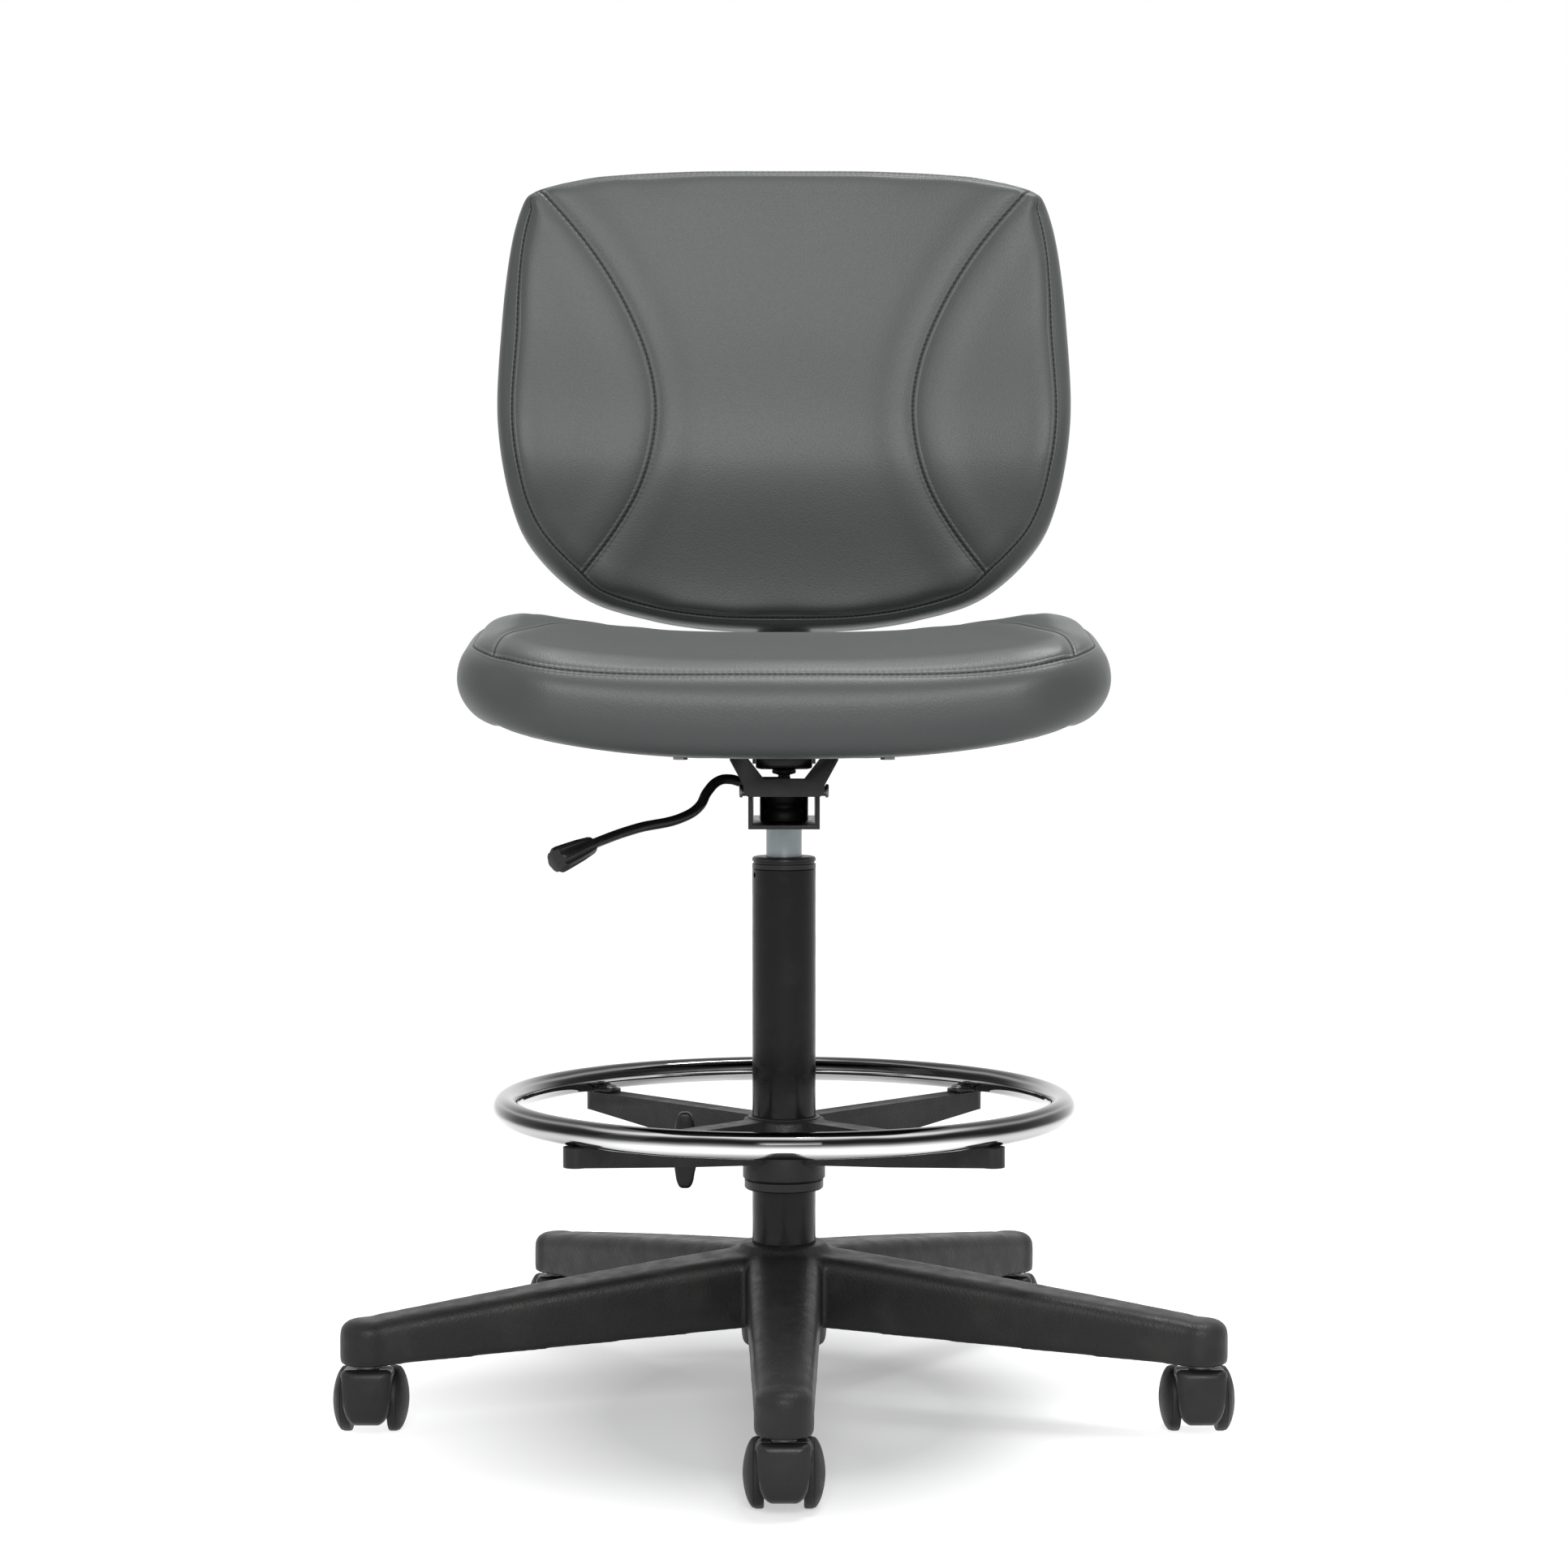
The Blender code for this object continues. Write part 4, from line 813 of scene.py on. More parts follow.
@dataclass(frozen=True)
class RingChrome(Finish):
    """Chrome on a bent tube, with light and dark reflections painted round its section."""

    radius: float = 0.219
    height: float = 0.240
    tube: float = 0.010
    # Painted reflections: flat grey at the ring's sides; stripe greys round the section.
    side_reflection_grey: Point = (0.47, 0.47, 0.465)
    turned: tuple[tuple[float, float], ...] = (
        (-1.00, 0.12), (-0.84, 0.24), (-0.58, 0.40), (-0.34, 0.48), (-0.12, 0.40), (0.00, 0.12),
        (0.10, 0.012), (0.50, 0.012), (0.60, 0.10), (0.68, 0.34), (0.76, 0.12), (0.84, 0.02),
        (1.00, 0.04),
    )
    front_reflections: tuple[tuple[float, float], ...] = (
        (-1.00, 0.20), (-0.86, 0.45), (-0.70, 0.80), (-0.48, 1.00), (-0.22, 0.86), (-0.08, 0.50),
        (0.06, 0.30), (0.16, 0.10), (0.26, 0.010), (0.46, 0.010), (0.55, 0.08), (0.62, 0.78),
        (0.71, 0.78), (0.79, 0.14), (0.88, 0.03), (1.00, 0.05),
    )

    def make(self) -> bpy.types.Material:
        """Builds chrome with painted reflections, a flat painted grey at the ring's sides."""
        work = Shader(self.name, (0.8, 0.8, 0.8), 0.05, 1.0)
        split = work.node("ShaderNodeSeparateXYZ")
        work.feed(split.inputs[0], work.place)
        _, across, up = split.outputs
        wander = work.noise(11.0, 2.0)
        rise = work.maths("DIVIDE", work.maths("SUBTRACT", up, self.height), self.tube)
        rise = work.maths("ADD", rise, work.maths("MULTIPLY_ADD", wander, 0.30, -0.15))
        share = work.maths("MULTIPLY_ADD", rise, 0.5, 0.5, clamp=True)
        depth = work.maths("ABSOLUTE", work.maths("SUBTRACT", across, COLUMN_Y))
        depth = work.maths("DIVIDE", depth, self.radius)
        facing = work.span(depth, 0.74, 0.96, 0.0, 1.0)
        painted_reflections = work.blend(
            facing, self.painted_reflections(work, self.turned, share), self.painted_reflections(work, self.front_reflections, share)
        )
        # The painted reflections give way to the flat painted grey at the ring's sides.
        colour = work.blend(work.span(depth, 0.10, 0.50, 0.12, 1.0), self.side_reflection_grey, painted_reflections)
        rough = work.span(work.noise(60.0, 5.0), 0.35, 0.75, 0.05, 0.12)
        work.set(Base_Color=colour, Roughness=rough)
        return work.material

    @staticmethod
    def painted_reflections(
        work: Shader, rows: Sequence[tuple[float, float]], share: bpy.types.NodeSocket
    ) -> bpy.types.NodeSocket:
        """Reads one set of painted reflections.

        Args:
            work: the material's nodes.
            rows: place on the section, -1 to 1, and grey.
            share: the place on the section, 0 to 1.

        Returns:
            The colour socket.
        """
        ramp = work.node("ShaderNodeValToRGB")
        ramp.color_ramp.interpolation = "B_SPLINE"
        steps = ramp.color_ramp.elements
        while len(steps) < len(rows):
            steps.new(0.5)
        for step, (place, grey) in zip(steps, rows, strict=True):
            step.position = (place + 1.0) / 2.0
            step.color = (grey, grey, grey, 1.0)
        work.feed(ramp.inputs[0], share)
        return ramp.outputs[0]


@dataclass(frozen=True)
class MattRubber(Finish):
    """Moulded rubber or tread urethane, a little dusty."""

    tone: Point = (0.016, 0.016, 0.016)
    dusty: Point = (0.050, 0.048, 0.045)
    grain: float = 800.0

    def make(self) -> bpy.types.Material:
        """Builds the rubber with fine grain, dust specks and dull patches."""
        work = Shader(self.name, self.tone, 0.6)
        specks = work.span(work.noise(1300.0, 2.0), 0.60, 0.72)
        patches = work.span(work.noise(45.0, 3.0), 0.45, 0.75)
        share = work.maths("MULTIPLY", specks, work.maths("MULTIPLY_ADD", patches, 0.7, 0.15))
        work.relief(work.cells(self.grain, 0.5), 0.00018, 0.7)
        rough = work.span(patches, 0.0, 1.0, 0.50, 0.68)
        work.set(Base_Color=work.blend(share, self.tone, self.dusty), Roughness=rough)
        work.set(Specular_IOR_Level=0.25)
        return work.material


@dataclass(frozen=True)
class Nonwoven(Finish):
    """Thin bonded cloth under the seat, with its rows of pressed points."""

    tone: Point = (0.012, 0.012, 0.012)
    pitch: float = 0.0016

    def make(self) -> bpy.types.Material:
        """Builds the cloth from crossed rows of points and loose fibre."""
        work = Shader(self.name, self.tone, 0.85)
        split = work.node("ShaderNodeSeparateXYZ")
        work.feed(split.inputs[0], work.place)
        rows = [
            work.maths("PINGPONG", work.maths("DIVIDE", split.outputs[axis], self.pitch), 0.5)
            for axis in (0, 1)
        ]
        points = work.maths("MULTIPLY", *rows)
        fibre = work.noise(1500.0, 4.0, work.stretched((1.0, 0.3, 1.0)))
        work.relief(points, 0.0002, 0.8)
        work.relief(fibre, 0.00012, 0.8)
        share = work.span(fibre, 0.4, 0.7)
        work.set(Base_Color=work.blend(share, self.tone, (0.035, 0.035, 0.036)))
        work.set(Sheen_Weight=0.25, Sheen_Roughness=0.6)
        return work.material


LEATHER = Leatherette("sewn_leatherette", "upholstery")
NYLON = MouldedNylon("pebbled_nylon", "black_nylon")
SMOOTH_NYLON = MouldedNylon(
    "smooth_nylon",
    "black_nylon",
    tone=(0.016, 0.016, 0.0165),
    rubbed=(0.025, 0.025, 0.025),
    pebble=1300.0,
    depth=0.00008,
    gloss=0.34,
    shine=0.26,
)
WHEEL_SKIN = MattRubber("wheel_rubber", "black_rubber")
BUFFER_RUBBER = MattRubber(
    "buffer_rubber",
    "black_rubber",
    tone=(0.010, 0.010, 0.010),
    dusty=(0.022, 0.022, 0.022),
    grain=300.0,
)
COAT = PowderCoat("black_powder_coat", "black_paint")
COLUMN_COAT = PowderCoat(
    "column_coat", "black_paint", tone=(0.008, 0.008, 0.008), gloss=0.20, peel=700.0, shine=0.16
)
CHROME = RingChrome("ring_chrome", "chrome")
SPRING_STEEL = BrightMetal(
    "spring_steel", "steel", (0.22, 0.245, 0.25), gloss=0.26, brushing=0.5, along=(1.0, 1.0, 0.04)
)
ZINC = BrightMetal("zinc_plate", "steel", (0.42, 0.43, 0.44), gloss=0.28, brushing=0.35)
DARK_STEEL = BrightMetal("oiled_steel", "steel", (0.16, 0.16, 0.17), gloss=0.33, brushing=0.3)
DUST_CLOTH = Nonwoven("dust_cloth", "upholstery")


# ---------------------------------------------------------------- base


@dataclass
class FiveLegBase:
    """The moulded star with its five hollow legs."""

    legs: int = 5
    reach: float = 0.333
    tip_radius: float = 0.0212
    tip_low: float = 0.056
    tip_high: float = 0.090
    root_low: float = 0.071
    root_high: float = 0.128
    root_width: float = 0.060
    tip_width: float = 0.0405
    wall: float = 0.004
    voxel: float = 0.0024

    def angles(self) -> list[float]:
        """Direction of each leg, the front one first."""
        return [-math.pi / 2 + 2.0 * math.pi * i / self.legs for i in range(self.legs)]

    def section(self, reach: float, inner: float = 0.0) -> tuple[float, float, float, float]:
        """A leg's bar station at a distance from the column.

        Args:
            reach: the distance.
            inner: how far the station is taken in, for the hollow under the leg.

        Returns:
            (x, low z, high z, width).
        """
        along = reach / self.reach
        width = self.root_width + (self.tip_width - self.root_width) * along
        high = self.root_high + (self.tip_high - self.root_high) * along**1.15
        low = self.root_low + (self.tip_low + 0.0006 - self.root_low) * along
        if inner:
            return reach, low - 0.010, high - inner, width - 2.0 * inner
        return reach, low, high, width

    def around(self, piece: Object) -> list[Object]:
        """A piece along +X turned to the first leg, and a copy of it for every other leg."""
        first, *others = [(0.0, 0.0, angle) for angle in self.angles()]
        copies = [Bench.place(Bench.copy(piece), turn=turn) for turn in others]
        return [Bench.place(piece, turn=first), *copies]

    def leg(self) -> Object:
        """One solid leg along +X, its top edges well rounded."""
        reaches = (0.012, 0.06, 0.11, 0.17, 0.23, 0.29, self.reach)
        leg = Bench.bar("leg", [self.section(reach) for reach in reaches])
        Bench.edit(leg)

        def along_top(middle: Vector, way: Vector) -> bool:
            """Whether an edge runs along the leg in its upper half."""
            _, low, high, _ = self.section(middle.x)
            return abs(way.x) > 0.9 and middle.z > (low + high) / 2

        Bench.pick(leg, Pick.EDGES, along_top)
        bpy.ops.mesh.bevel(offset=0.0105, segments=6, affect="EDGES")
        tip = Bench.turned(
            "leg_tip",
            [
                (self.tip_radius - 0.0015, self.tip_low), (self.tip_radius, self.tip_low + 0.0015),
                (self.tip_radius, self.tip_high - 0.0095),
                (self.tip_radius - 0.0012, self.tip_high - 0.0055),
                (self.tip_radius - 0.0040, self.tip_high - 0.0022),
                (self.tip_radius - 0.0085, self.tip_high - 0.0003), (0.004, self.tip_high + 0.0004),
            ],
            48,
        )
        Bench.place(tip, (self.reach, 0.0, 0.0))
        return Bench.join(leg, tip)

    def pocket(self) -> Object:
        """The hollow under one leg, divided by its ribs."""
        spans = ((0.064, 0.112), (0.115, 0.165), (0.168, 0.222), (0.225, 0.296))
        cells = []
        for span in spans:
            cell = Bench.bar("leg_cell", [self.section(reach, self.wall) for reach in span])
            cells.append(Bench.soften(cell, 0.003, 2))
        return Bench.join(*cells)

    def build(self) -> None:
        """Builds the star and hangs it on the base body."""
        star = Bench.turned(
            "base_star_finished",
            [
                (0.0310, 0.050), (0.0330, 0.052), (0.0345, 0.071), (0.0430, 0.077), (0.0425, 0.105),
                (0.0400, 0.118), (0.0362, 0.1265), (0.0345, 0.131),
            ],
            72,
        )
        star = Bench.join(star, *self.around(self.leg()))
        Bench.modify(star, "REMESH", mode="VOXEL", voxel_size=self.voxel)
        Bench.modify(star, "SMOOTH", factor=0.5, iterations=9)
        pockets = self.around(self.pocket())
        drills = []
        for angle in self.angles():
            drill = Bench.turned("stem_hole", [(0.0060, 0.040), (0.0060, 0.084)], 32)
            at = (self.reach * math.cos(angle), self.reach * math.sin(angle), 0.0)
            drills.append(Bench.place(drill, at))
        taper = [(0.0243, 0.040), (0.0243, 0.050), (0.0253, 0.131), (0.0253, 0.140)]
        bore = Bench.turned("hub_bore", taper, 64)
        Bench.cut(star, Bench.join(*pockets), "MANIFOLD")
        Bench.cut(star, Bench.join(bore, *drills), "MANIFOLD")
        Bench.stand_in(star, "base_star", "base", NYLON, angle=42.0)


@dataclass
class TwinCaster:
    """A twin-wheel caster: shield and web, collar, stem, axle and two lens-shaped wheels."""

    trail: float = 0.020
    wheel_radius: float = 0.025
    wheel_in: float = 0.0140
    wheel_out: float = 0.0290
    top: float = 0.0515
    low: float = 0.0095

    def housing(self) -> Object:
        """The shield that wraps the stem, with the web that runs back between the wheels."""
        outline = (
            (-0.0150, self.top), (-0.0182, 0.0420), (-0.0180, 0.0260), (-0.0170, 0.0200),
            (-0.0153, 0.0154), (-0.0128, 0.0122), (-0.0094, 0.0103), (-0.0030, self.low + 0.0002),
            (0.0120, self.low + 0.0004), (0.0270, 0.0115), (0.0362, 0.0210), (0.0372, 0.0320),
            (0.0290, 0.0430), (0.0140, self.top - 0.0006), (0.0000, self.top),
        )
        shell = Bench.plate("caster_shell", outline, 0.0396, 0.0045)
        Bench.place(shell, turn=(math.pi / 2, 0.0, math.pi / 2))
        for point in shell.data.vertices:
            rise = (point.co.z - self.low) / (self.top - self.low)
            ahead = min(0.0, point.co.y + 0.004) / 0.0142
            narrow = 0.45 + 0.55 * (1.0 - (1.0 - min(1.0, max(0.0, rise))) ** 3.2) ** 0.65
            point.co.x *= narrow * max(0.04, 1.0 - ahead**4) ** 0.25
        wells = []
        for side in Side:
            well = Bench.turned("well", [(0.0278, 0.0), (0.0278, 0.02)], 72)
            turn = (0.0, side.value * math.pi / 2, 0.0)
            at = (side.value * 0.0132, self.trail, self.wheel_radius)
            wells.append(Bench.place(well, at, turn))
        socket = Bench.turned("socket", [(0.0066, 0.0360), (0.0066, 0.070)], 32)
        axle = Bench.turned("axle_hole", [(0.0034, -0.03), (0.0034, 0.03)], 24)
        Bench.place(axle, (0.0, self.trail, self.wheel_radius), (0.0, math.pi / 2, 0.0))
        Bench.cut(shell, Bench.join(*wells))
        Bench.cut(shell, Bench.join(socket, axle))
        return Bench.soften(shell, 0.0006, 2, 50.0)

    def wheel(self) -> Object:
        """One wheel on +X, domed outside, with a recessed inner face."""
        radius = self.wheel_radius
        dome = [
            (radius * math.sin(a), self.wheel_out - 0.0092 * (1.0 - math.cos(a)) ** 0.9)
            for a in (math.radians(4.0 + 8.2 * i) for i in range(10))
        ]
        profile = [
            *dome,
            (radius - 0.0008, 0.0212), (radius - 0.0001, 0.0200), (radius, 0.0185),
            (radius, 0.0156), (radius - 0.0004, 0.0145), (radius - 0.0014, self.wheel_in),
            (0.0205, self.wheel_in), (0.0198, self.wheel_in + 0.0015),
            (0.0075, self.wheel_in + 0.0015), (0.0068, self.wheel_in), (0.0034, self.wheel_in),
            (0.0034, 0.0243),
        ]
        wheel = Bench.turned("wheel", profile, 64)
        return Bench.place(wheel, turn=(0.0, math.pi / 2, 0.0))

    @staticmethod
    def stem() -> Object:
        """The steel stem with its collar under the leg."""
        profile = [
            (0.0048, 0.0367), (0.0055, 0.0374), (0.0055, 0.0518), (0.0086, 0.0518),
            (0.0090, 0.0523), (0.0090, 0.0552), (0.0086, 0.0557), (0.0055, 0.0557),
            (0.0055, 0.0820), (0.0045, 0.0830),
        ]
        return Bench.turned("stem", profile, 40)

    @staticmethod
    def axle() -> Object:
        """The axle with a turned shoulder beside each wheel."""
        half = [(0.0030, 0.0132), (0.0046, 0.0134), (0.0046, 0.0139), (0.0030, 0.0141)]
        profile = [(0.0026, -0.0240), (0.0030, -0.0236), *[(r, -x) for r, x in reversed(half)]]
        profile += [*half, (0.0030, 0.0236), (0.0026, 0.0240)]
        return Bench.place(Bench.turned("axle", profile, 32), turn=(0.0, math.pi / 2, 0.0))

    def build(self, places: Sequence[tuple[float, float]]) -> None:
        """Makes the pieces once and copies them to every leg.

        Args:
            places: where each stem stands, from the column.
        """
        housing, wheel, stem, axle = self.housing(), self.wheel(), self.stem(), self.axle()
        mirrored = Bench.copy(wheel)
        mirrored.scale.x = -1.0
        Bench.close(Bench.settle(mirrored))
        for i, (x, y) in enumerate(places, 1):
            body = f"caster_{i}"
            at_axle = (x, y + self.trail, self.wheel_radius)
            rows = (
                (housing, (x, y, 0.0), body, SMOOTH_NYLON, f"{body}_housing"),
                (stem, (x, y, 0.0), "base", DARK_STEEL, f"{body}_stem"),
                (axle, at_axle, body, ZINC, f"{body}_axle"),
                (mirrored, at_axle, f"{body}_left", WHEEL_SKIN, f"{body}_wheel_left"),
                (wheel, at_axle, f"{body}_right", WHEEL_SKIN, f"{body}_wheel_right"),
            )
            for master, at, owner, finish, node in rows:
                piece = Bench.place(Bench.copy(master), at)
                Bench.stand_in(piece, node, owner, finish)
        for master in (housing, wheel, mirrored, stem, axle):
            bpy.data.objects.remove(master, do_unlink=True)


# ---------------------------------------------------------------- column


@dataclass
class GasColumn:
    """The outer tube with its guide bush, and the gas spring that rises out of it."""

    tube_radius: float = 0.025
    bore: float = 0.0230
    tube_top: float = 0.4262
    bush_top: float = 0.436
    spring_radius: float = 0.014
    spring_top: float = 0.486

    def tube(self) -> Object:
        """The painted tube, tapered where it sits in the base."""
        profile = [
            (self.bore, self.tube_top), (self.tube_radius - 0.0004, self.tube_top),
            (self.tube_radius, self.tube_top - 0.0004), (self.tube_radius, 0.300),
            (self.tube_radius, 0.131), (0.0240, 0.0525), (0.0236, 0.0520), (0.0056, 0.0520),
            (0.0056, 0.0560), (self.bore, 0.0560), (self.bore, self.tube_top),
        ]
        tube = Bench.turned("tube", profile, 96, open_end=True)
        drill = Bench.turned("tube_hole", [(0.0021, 0.0232), (0.0021, 0.0270)], 20)
        turn = Matrix.Rotation(math.radians(-158.0), 4, "Z") @ Matrix.Rotation(math.pi / 2, 4, "Y")
        drill.matrix_world = Matrix.Translation((0.0, 0.0, self.tube_top - 0.0045)) @ turn
        return Bench.cut(tube, Bench.settle(drill))

    def bush(self) -> Object:
        """The guide bush, its collar grooved and shouldered over the tube."""
        inside, skirt = self.spring_radius + 0.0003, self.bore - 0.0003
        outside, top = self.tube_radius, self.bush_top
        profile = [
            (inside, top - 0.0008), (inside + 0.0008, top), (outside - 0.0022, top),
            (outside - 0.0007, top - 0.0005), (outside, top - 0.0016), (outside, top - 0.0034),
            (outside - 0.0010, top - 0.0040), (outside - 0.0010, top - 0.0052),
            (outside, top - 0.0058), (outside, self.tube_top + 0.0004),
            (outside - 0.0003, self.tube_top + 0.0003), (skirt, self.tube_top + 0.0003),
            (skirt, 0.3500), (inside, 0.3500), (inside, top - 0.0008),
        ]
        return Bench.turned("bush", profile, 96, open_end=True)

    def spring(self) -> Object:
        """The ground steel cylinder with its rolled foot and tapered head."""
        radius = self.spring_radius
        profile = [
            (0.0053, 0.1050), (radius - 0.0016, 0.1050), (radius - 0.0004, 0.1056),
            (radius, 0.1070), (radius, 0.3000), (radius, 0.4300), (radius, 0.4600),
            (radius - 0.0001, 0.4620), (0.0134, self.spring_top - 0.0012),
            (0.0124, self.spring_top), (0.0044, self.spring_top),
            (0.0044, self.spring_top - 0.0100),
        ]
        return Bench.turned("spring", profile, 96)

    def build(self) -> None:
        """Builds the column and dresses the works inside it."""
        Bench.stand_in(self.tube(), "column_tube", "base", COLUMN_COAT)
        Bench.stand_in(self.bush(), "column_bush", "base", SMOOTH_NYLON)
        Bench.finish(self.spring(), "gas_spring_finished", "lift", SPRING_STEEL, "gas_cylinder")
        inside = (
            ("thrust_bearing", ZINC),
            ("piston_rod", SPRING_STEEL),
            ("retaining_clip", ZINC),
            ("valve_button", SMOOTH_NYLON),
        )
        for node, finish in inside:
            CadDress.dress(node, finish)


class CadDress:
    """Finishes for CAD nodes, whose shapes are kept or only rounded."""

    @staticmethod
    def dress(node: str, finish: Finish) -> None:
        """Gives a CAD node that stays in view a finish."""
        piece = frame["nodes"][node]
        piece.data.materials.clear()
        piece.data.materials.append(finish.material())

    @staticmethod
    def refine(node: str, body: str, finish: Finish, soft: float, segments: int = 2) -> None:
        """Replaces a CAD node by its rounded copy.

        Args:
            node: the CAD node.
            body: the body that it rides on.
            finish: its finish.
            soft: width of the rounding.
            segments: steps of the rounding.
        """
        piece = Bench.refined(node, soft, segments)
        Bench.stand_in(piece, node, body, finish, in_frame=True)


# ---------------------------------------------------------------- foot ring


@dataclass
class FootRing:
    """The chromed ring on its spoked hub, with sleeve, tabs, screws and wing knob."""

    radius: float = 0.219
    tube: float = 0.010
    height: float = 0.240
    spokes: int = 4
    spoke_width: float = 0.019
    top: float = 0.2297
    hub_radius: float = 0.0325
    hub_low: float = 0.1815
    screw_at: float = 0.2035
    clamp_height: float = 0.2035
    spoke_low: float = 0.2145

    def angles(self) -> list[float]:
        """Direction of each spoke."""
        return [math.pi / 4 + 2.0 * math.pi * i / self.spokes for i in range(self.spokes)]

    def ring(self) -> Object:
        """The bent tube."""
        Bench.clear()
        bpy.ops.mesh.primitive_torus_add(
            major_radius=self.radius,
            minor_radius=self.tube,
            major_segments=200,
            minor_segments=32,
            location=(0.0, 0.0, self.height),
        )
        return Bench.settle(bpy.context.object)

    def tabs(self) -> Object:
        """The blackened tabs that hold the tube on each spoke."""
        tabs = []
        for angle in self.angles():
            tab = Bench.plate(
                "tab",
                (
                    (-0.0120, 0.0), (-0.0095, 0.0066), (-0.0020, 0.0080), (0.0120, 0.0080),
                    (0.0120, -0.0080), (-0.0020, -0.0080), (-0.0095, -0.0066),
                ),
                0.0025,
                0.0006,
            )
            Bench.place(tab, (0.2080, 0.0, self.top + 0.0019))
            drill = Bench.turned("tab_hole", [(0.0028, 0.22), (0.0028, 0.24)], 24)
            Bench.cut(tab, Bench.place(drill, (self.screw_at, 0.0, 0.0)))
            seam = [(0.2118, y, self.top + 0.0030) for y in (-0.0078, -0.0030, 0.0030, 0.0078)]
            bead = Bench.rod("weld", seam, 0.0012, rings=3)
            tabs.append(Bench.place(Bench.join(tab, bead), turn=(0.0, 0.0, angle)))
        return Bench.join(*tabs)

    def hub(self) -> Object:
        """The moulded hub with its four spokes."""
        hub = Bench.turned(
            "hub",
            [
                (self.hub_radius - 0.0012, self.hub_low), (self.hub_radius, self.hub_low + 0.0012),
                (self.hub_radius, self.top - 0.0030), (self.hub_radius - 0.0010, self.top - 0.0010),
                (self.hub_radius - 0.0030, self.top),
            ],
            96,
        )
        spoke = Bench.bar(
            "spoke",
            [
                (0.020, 0.1958, self.top, self.spoke_width + 0.002),
                (0.050, 0.1975, self.top, self.spoke_width),
                (0.120, 0.2040, self.top, self.spoke_width),
                (self.radius, self.spoke_low, self.top, self.spoke_width),
            ],
        )
        half = self.spoke_width / 2
        end = Bench.turned("spoke_end", [(half, self.spoke_low), (half, self.top)], 48)
        Bench.boolean(spoke, Bench.place(end, (self.radius, 0.0, 0.0)), "UNION", "MANIFOLD")
        hollow = [(reach, 0.16, self.top - 0.004, 0.013) for reach in (0.045, 0.190)]
        Bench.cut(spoke, Bench.soften(Bench.bar("spoke_cell", hollow), 0.002, 2), "MANIFOLD")
        Bench.soften(spoke, 0.0022, 3, 40.0)
        for i, angle in enumerate(self.angles()):
            arm = Bench.copy(spoke) if i < self.spokes - 1 else spoke
            Bench.place(arm, turn=(0.0, 0.0, angle))
            Bench.boolean(hub, arm, "UNION", "MANIFOLD")
        bore = Bench.turned("hub_bore", [(0.0286, 0.17), (0.0286, 0.24)], 96)
        clamp = Bench.turned("clamp_hole", [(0.0045, 0.027), (0.0045, 0.040)], 24)
        Bench.place(clamp, (0.0, 0.0, self.clamp_height), (0.0, -math.pi / 2, 0.0))
        return Bench.cut(hub, Bench.join(bore, clamp), "MANIFOLD")

    def sleeve(self) -> Object:
        """The plastic sleeve that slides on the column, flanged under the hub."""
        bore, wall, flange = 0.0253, 0.0283, 0.0312
        profile = [
            (bore, self.top + 0.0007), (bore + 0.0008, self.top + 0.0015),
            (wall - 0.0008, self.top + 0.0015), (wall, self.top + 0.0007), (wall, 0.1812),
            (flange - 0.0006, 0.1812), (flange, 0.1806), (flange, 0.1747),
            (flange - 0.0011, 0.1736), (bore, 0.1736), (bore, self.top + 0.0007),
        ]
        return Bench.turned("sleeve", profile, 96, open_end=True)

    def knob(self) -> Object:
        """The wing knob with its stud, about the clamp's axis."""
        boss = Bench.turned(
            "knob",
            [
                (0.0036, 0.0287), (0.0040, 0.0292), (0.0040, 0.0605), (0.0078, 0.0605),
                (0.0086, 0.0612), (0.0104, 0.0690), (0.0105, 0.0845), (0.0098, 0.0862),
                (0.0084, 0.0870),
            ],
            48,
        )
        half = [
            (0.0000, 0.0686), (0.0100, 0.0688), (0.0180, 0.0704), (0.0262, 0.0722),
            (0.0295, 0.0745), (0.0302, 0.0782), (0.0295, 0.0820), (0.0262, 0.0842),
            (0.0180, 0.0860), (0.0100, 0.0868), (0.0000, 0.0870),
        ]
        outline = [*half, *[(-x, y) for x, y in reversed(half[1:-1])]]
        wing = Bench.plate("wings", outline, 0.0098, 0.0030)
        Bench.place(wing, turn=(math.pi / 2, 0.0, 0.0))
        knob = Bench.boolean(boss, wing, "UNION", "EXACT")
        return Bench.place(knob, (0.0, 0.0, self.clamp_height), (0.0, -math.pi / 2, 0.0))

    def screw(self) -> Object:
        """A pan-head screw with a cross recess."""
        head = self.top + 0.0034
        screw = Bench.turned(
            "screw",
            [
                (0.0024, self.top - 0.0088), (0.0024, head), (0.0046, head),
                (0.0048, head + 0.0006), (0.0045, head + 0.0016), (0.0036, head + 0.0025),
                (0.0020, head + 0.0029),
            ],
            40,
        )
        for turn in (0.0, math.pi / 2):
            Bench.clear()
            bpy.ops.mesh.primitive_cube_add(
                size=1.0,
                location=(0.0, 0.0, head + 0.0024),
                rotation=(0.0, 0.0, turn),
                scale=(0.0052, 0.0009, 0.0024),
            )
            slot = Bench.settle(bpy.context.object)
            Bench.soften(slot, 0.0002, 1)
            Bench.cut(screw, slot)
        return screw

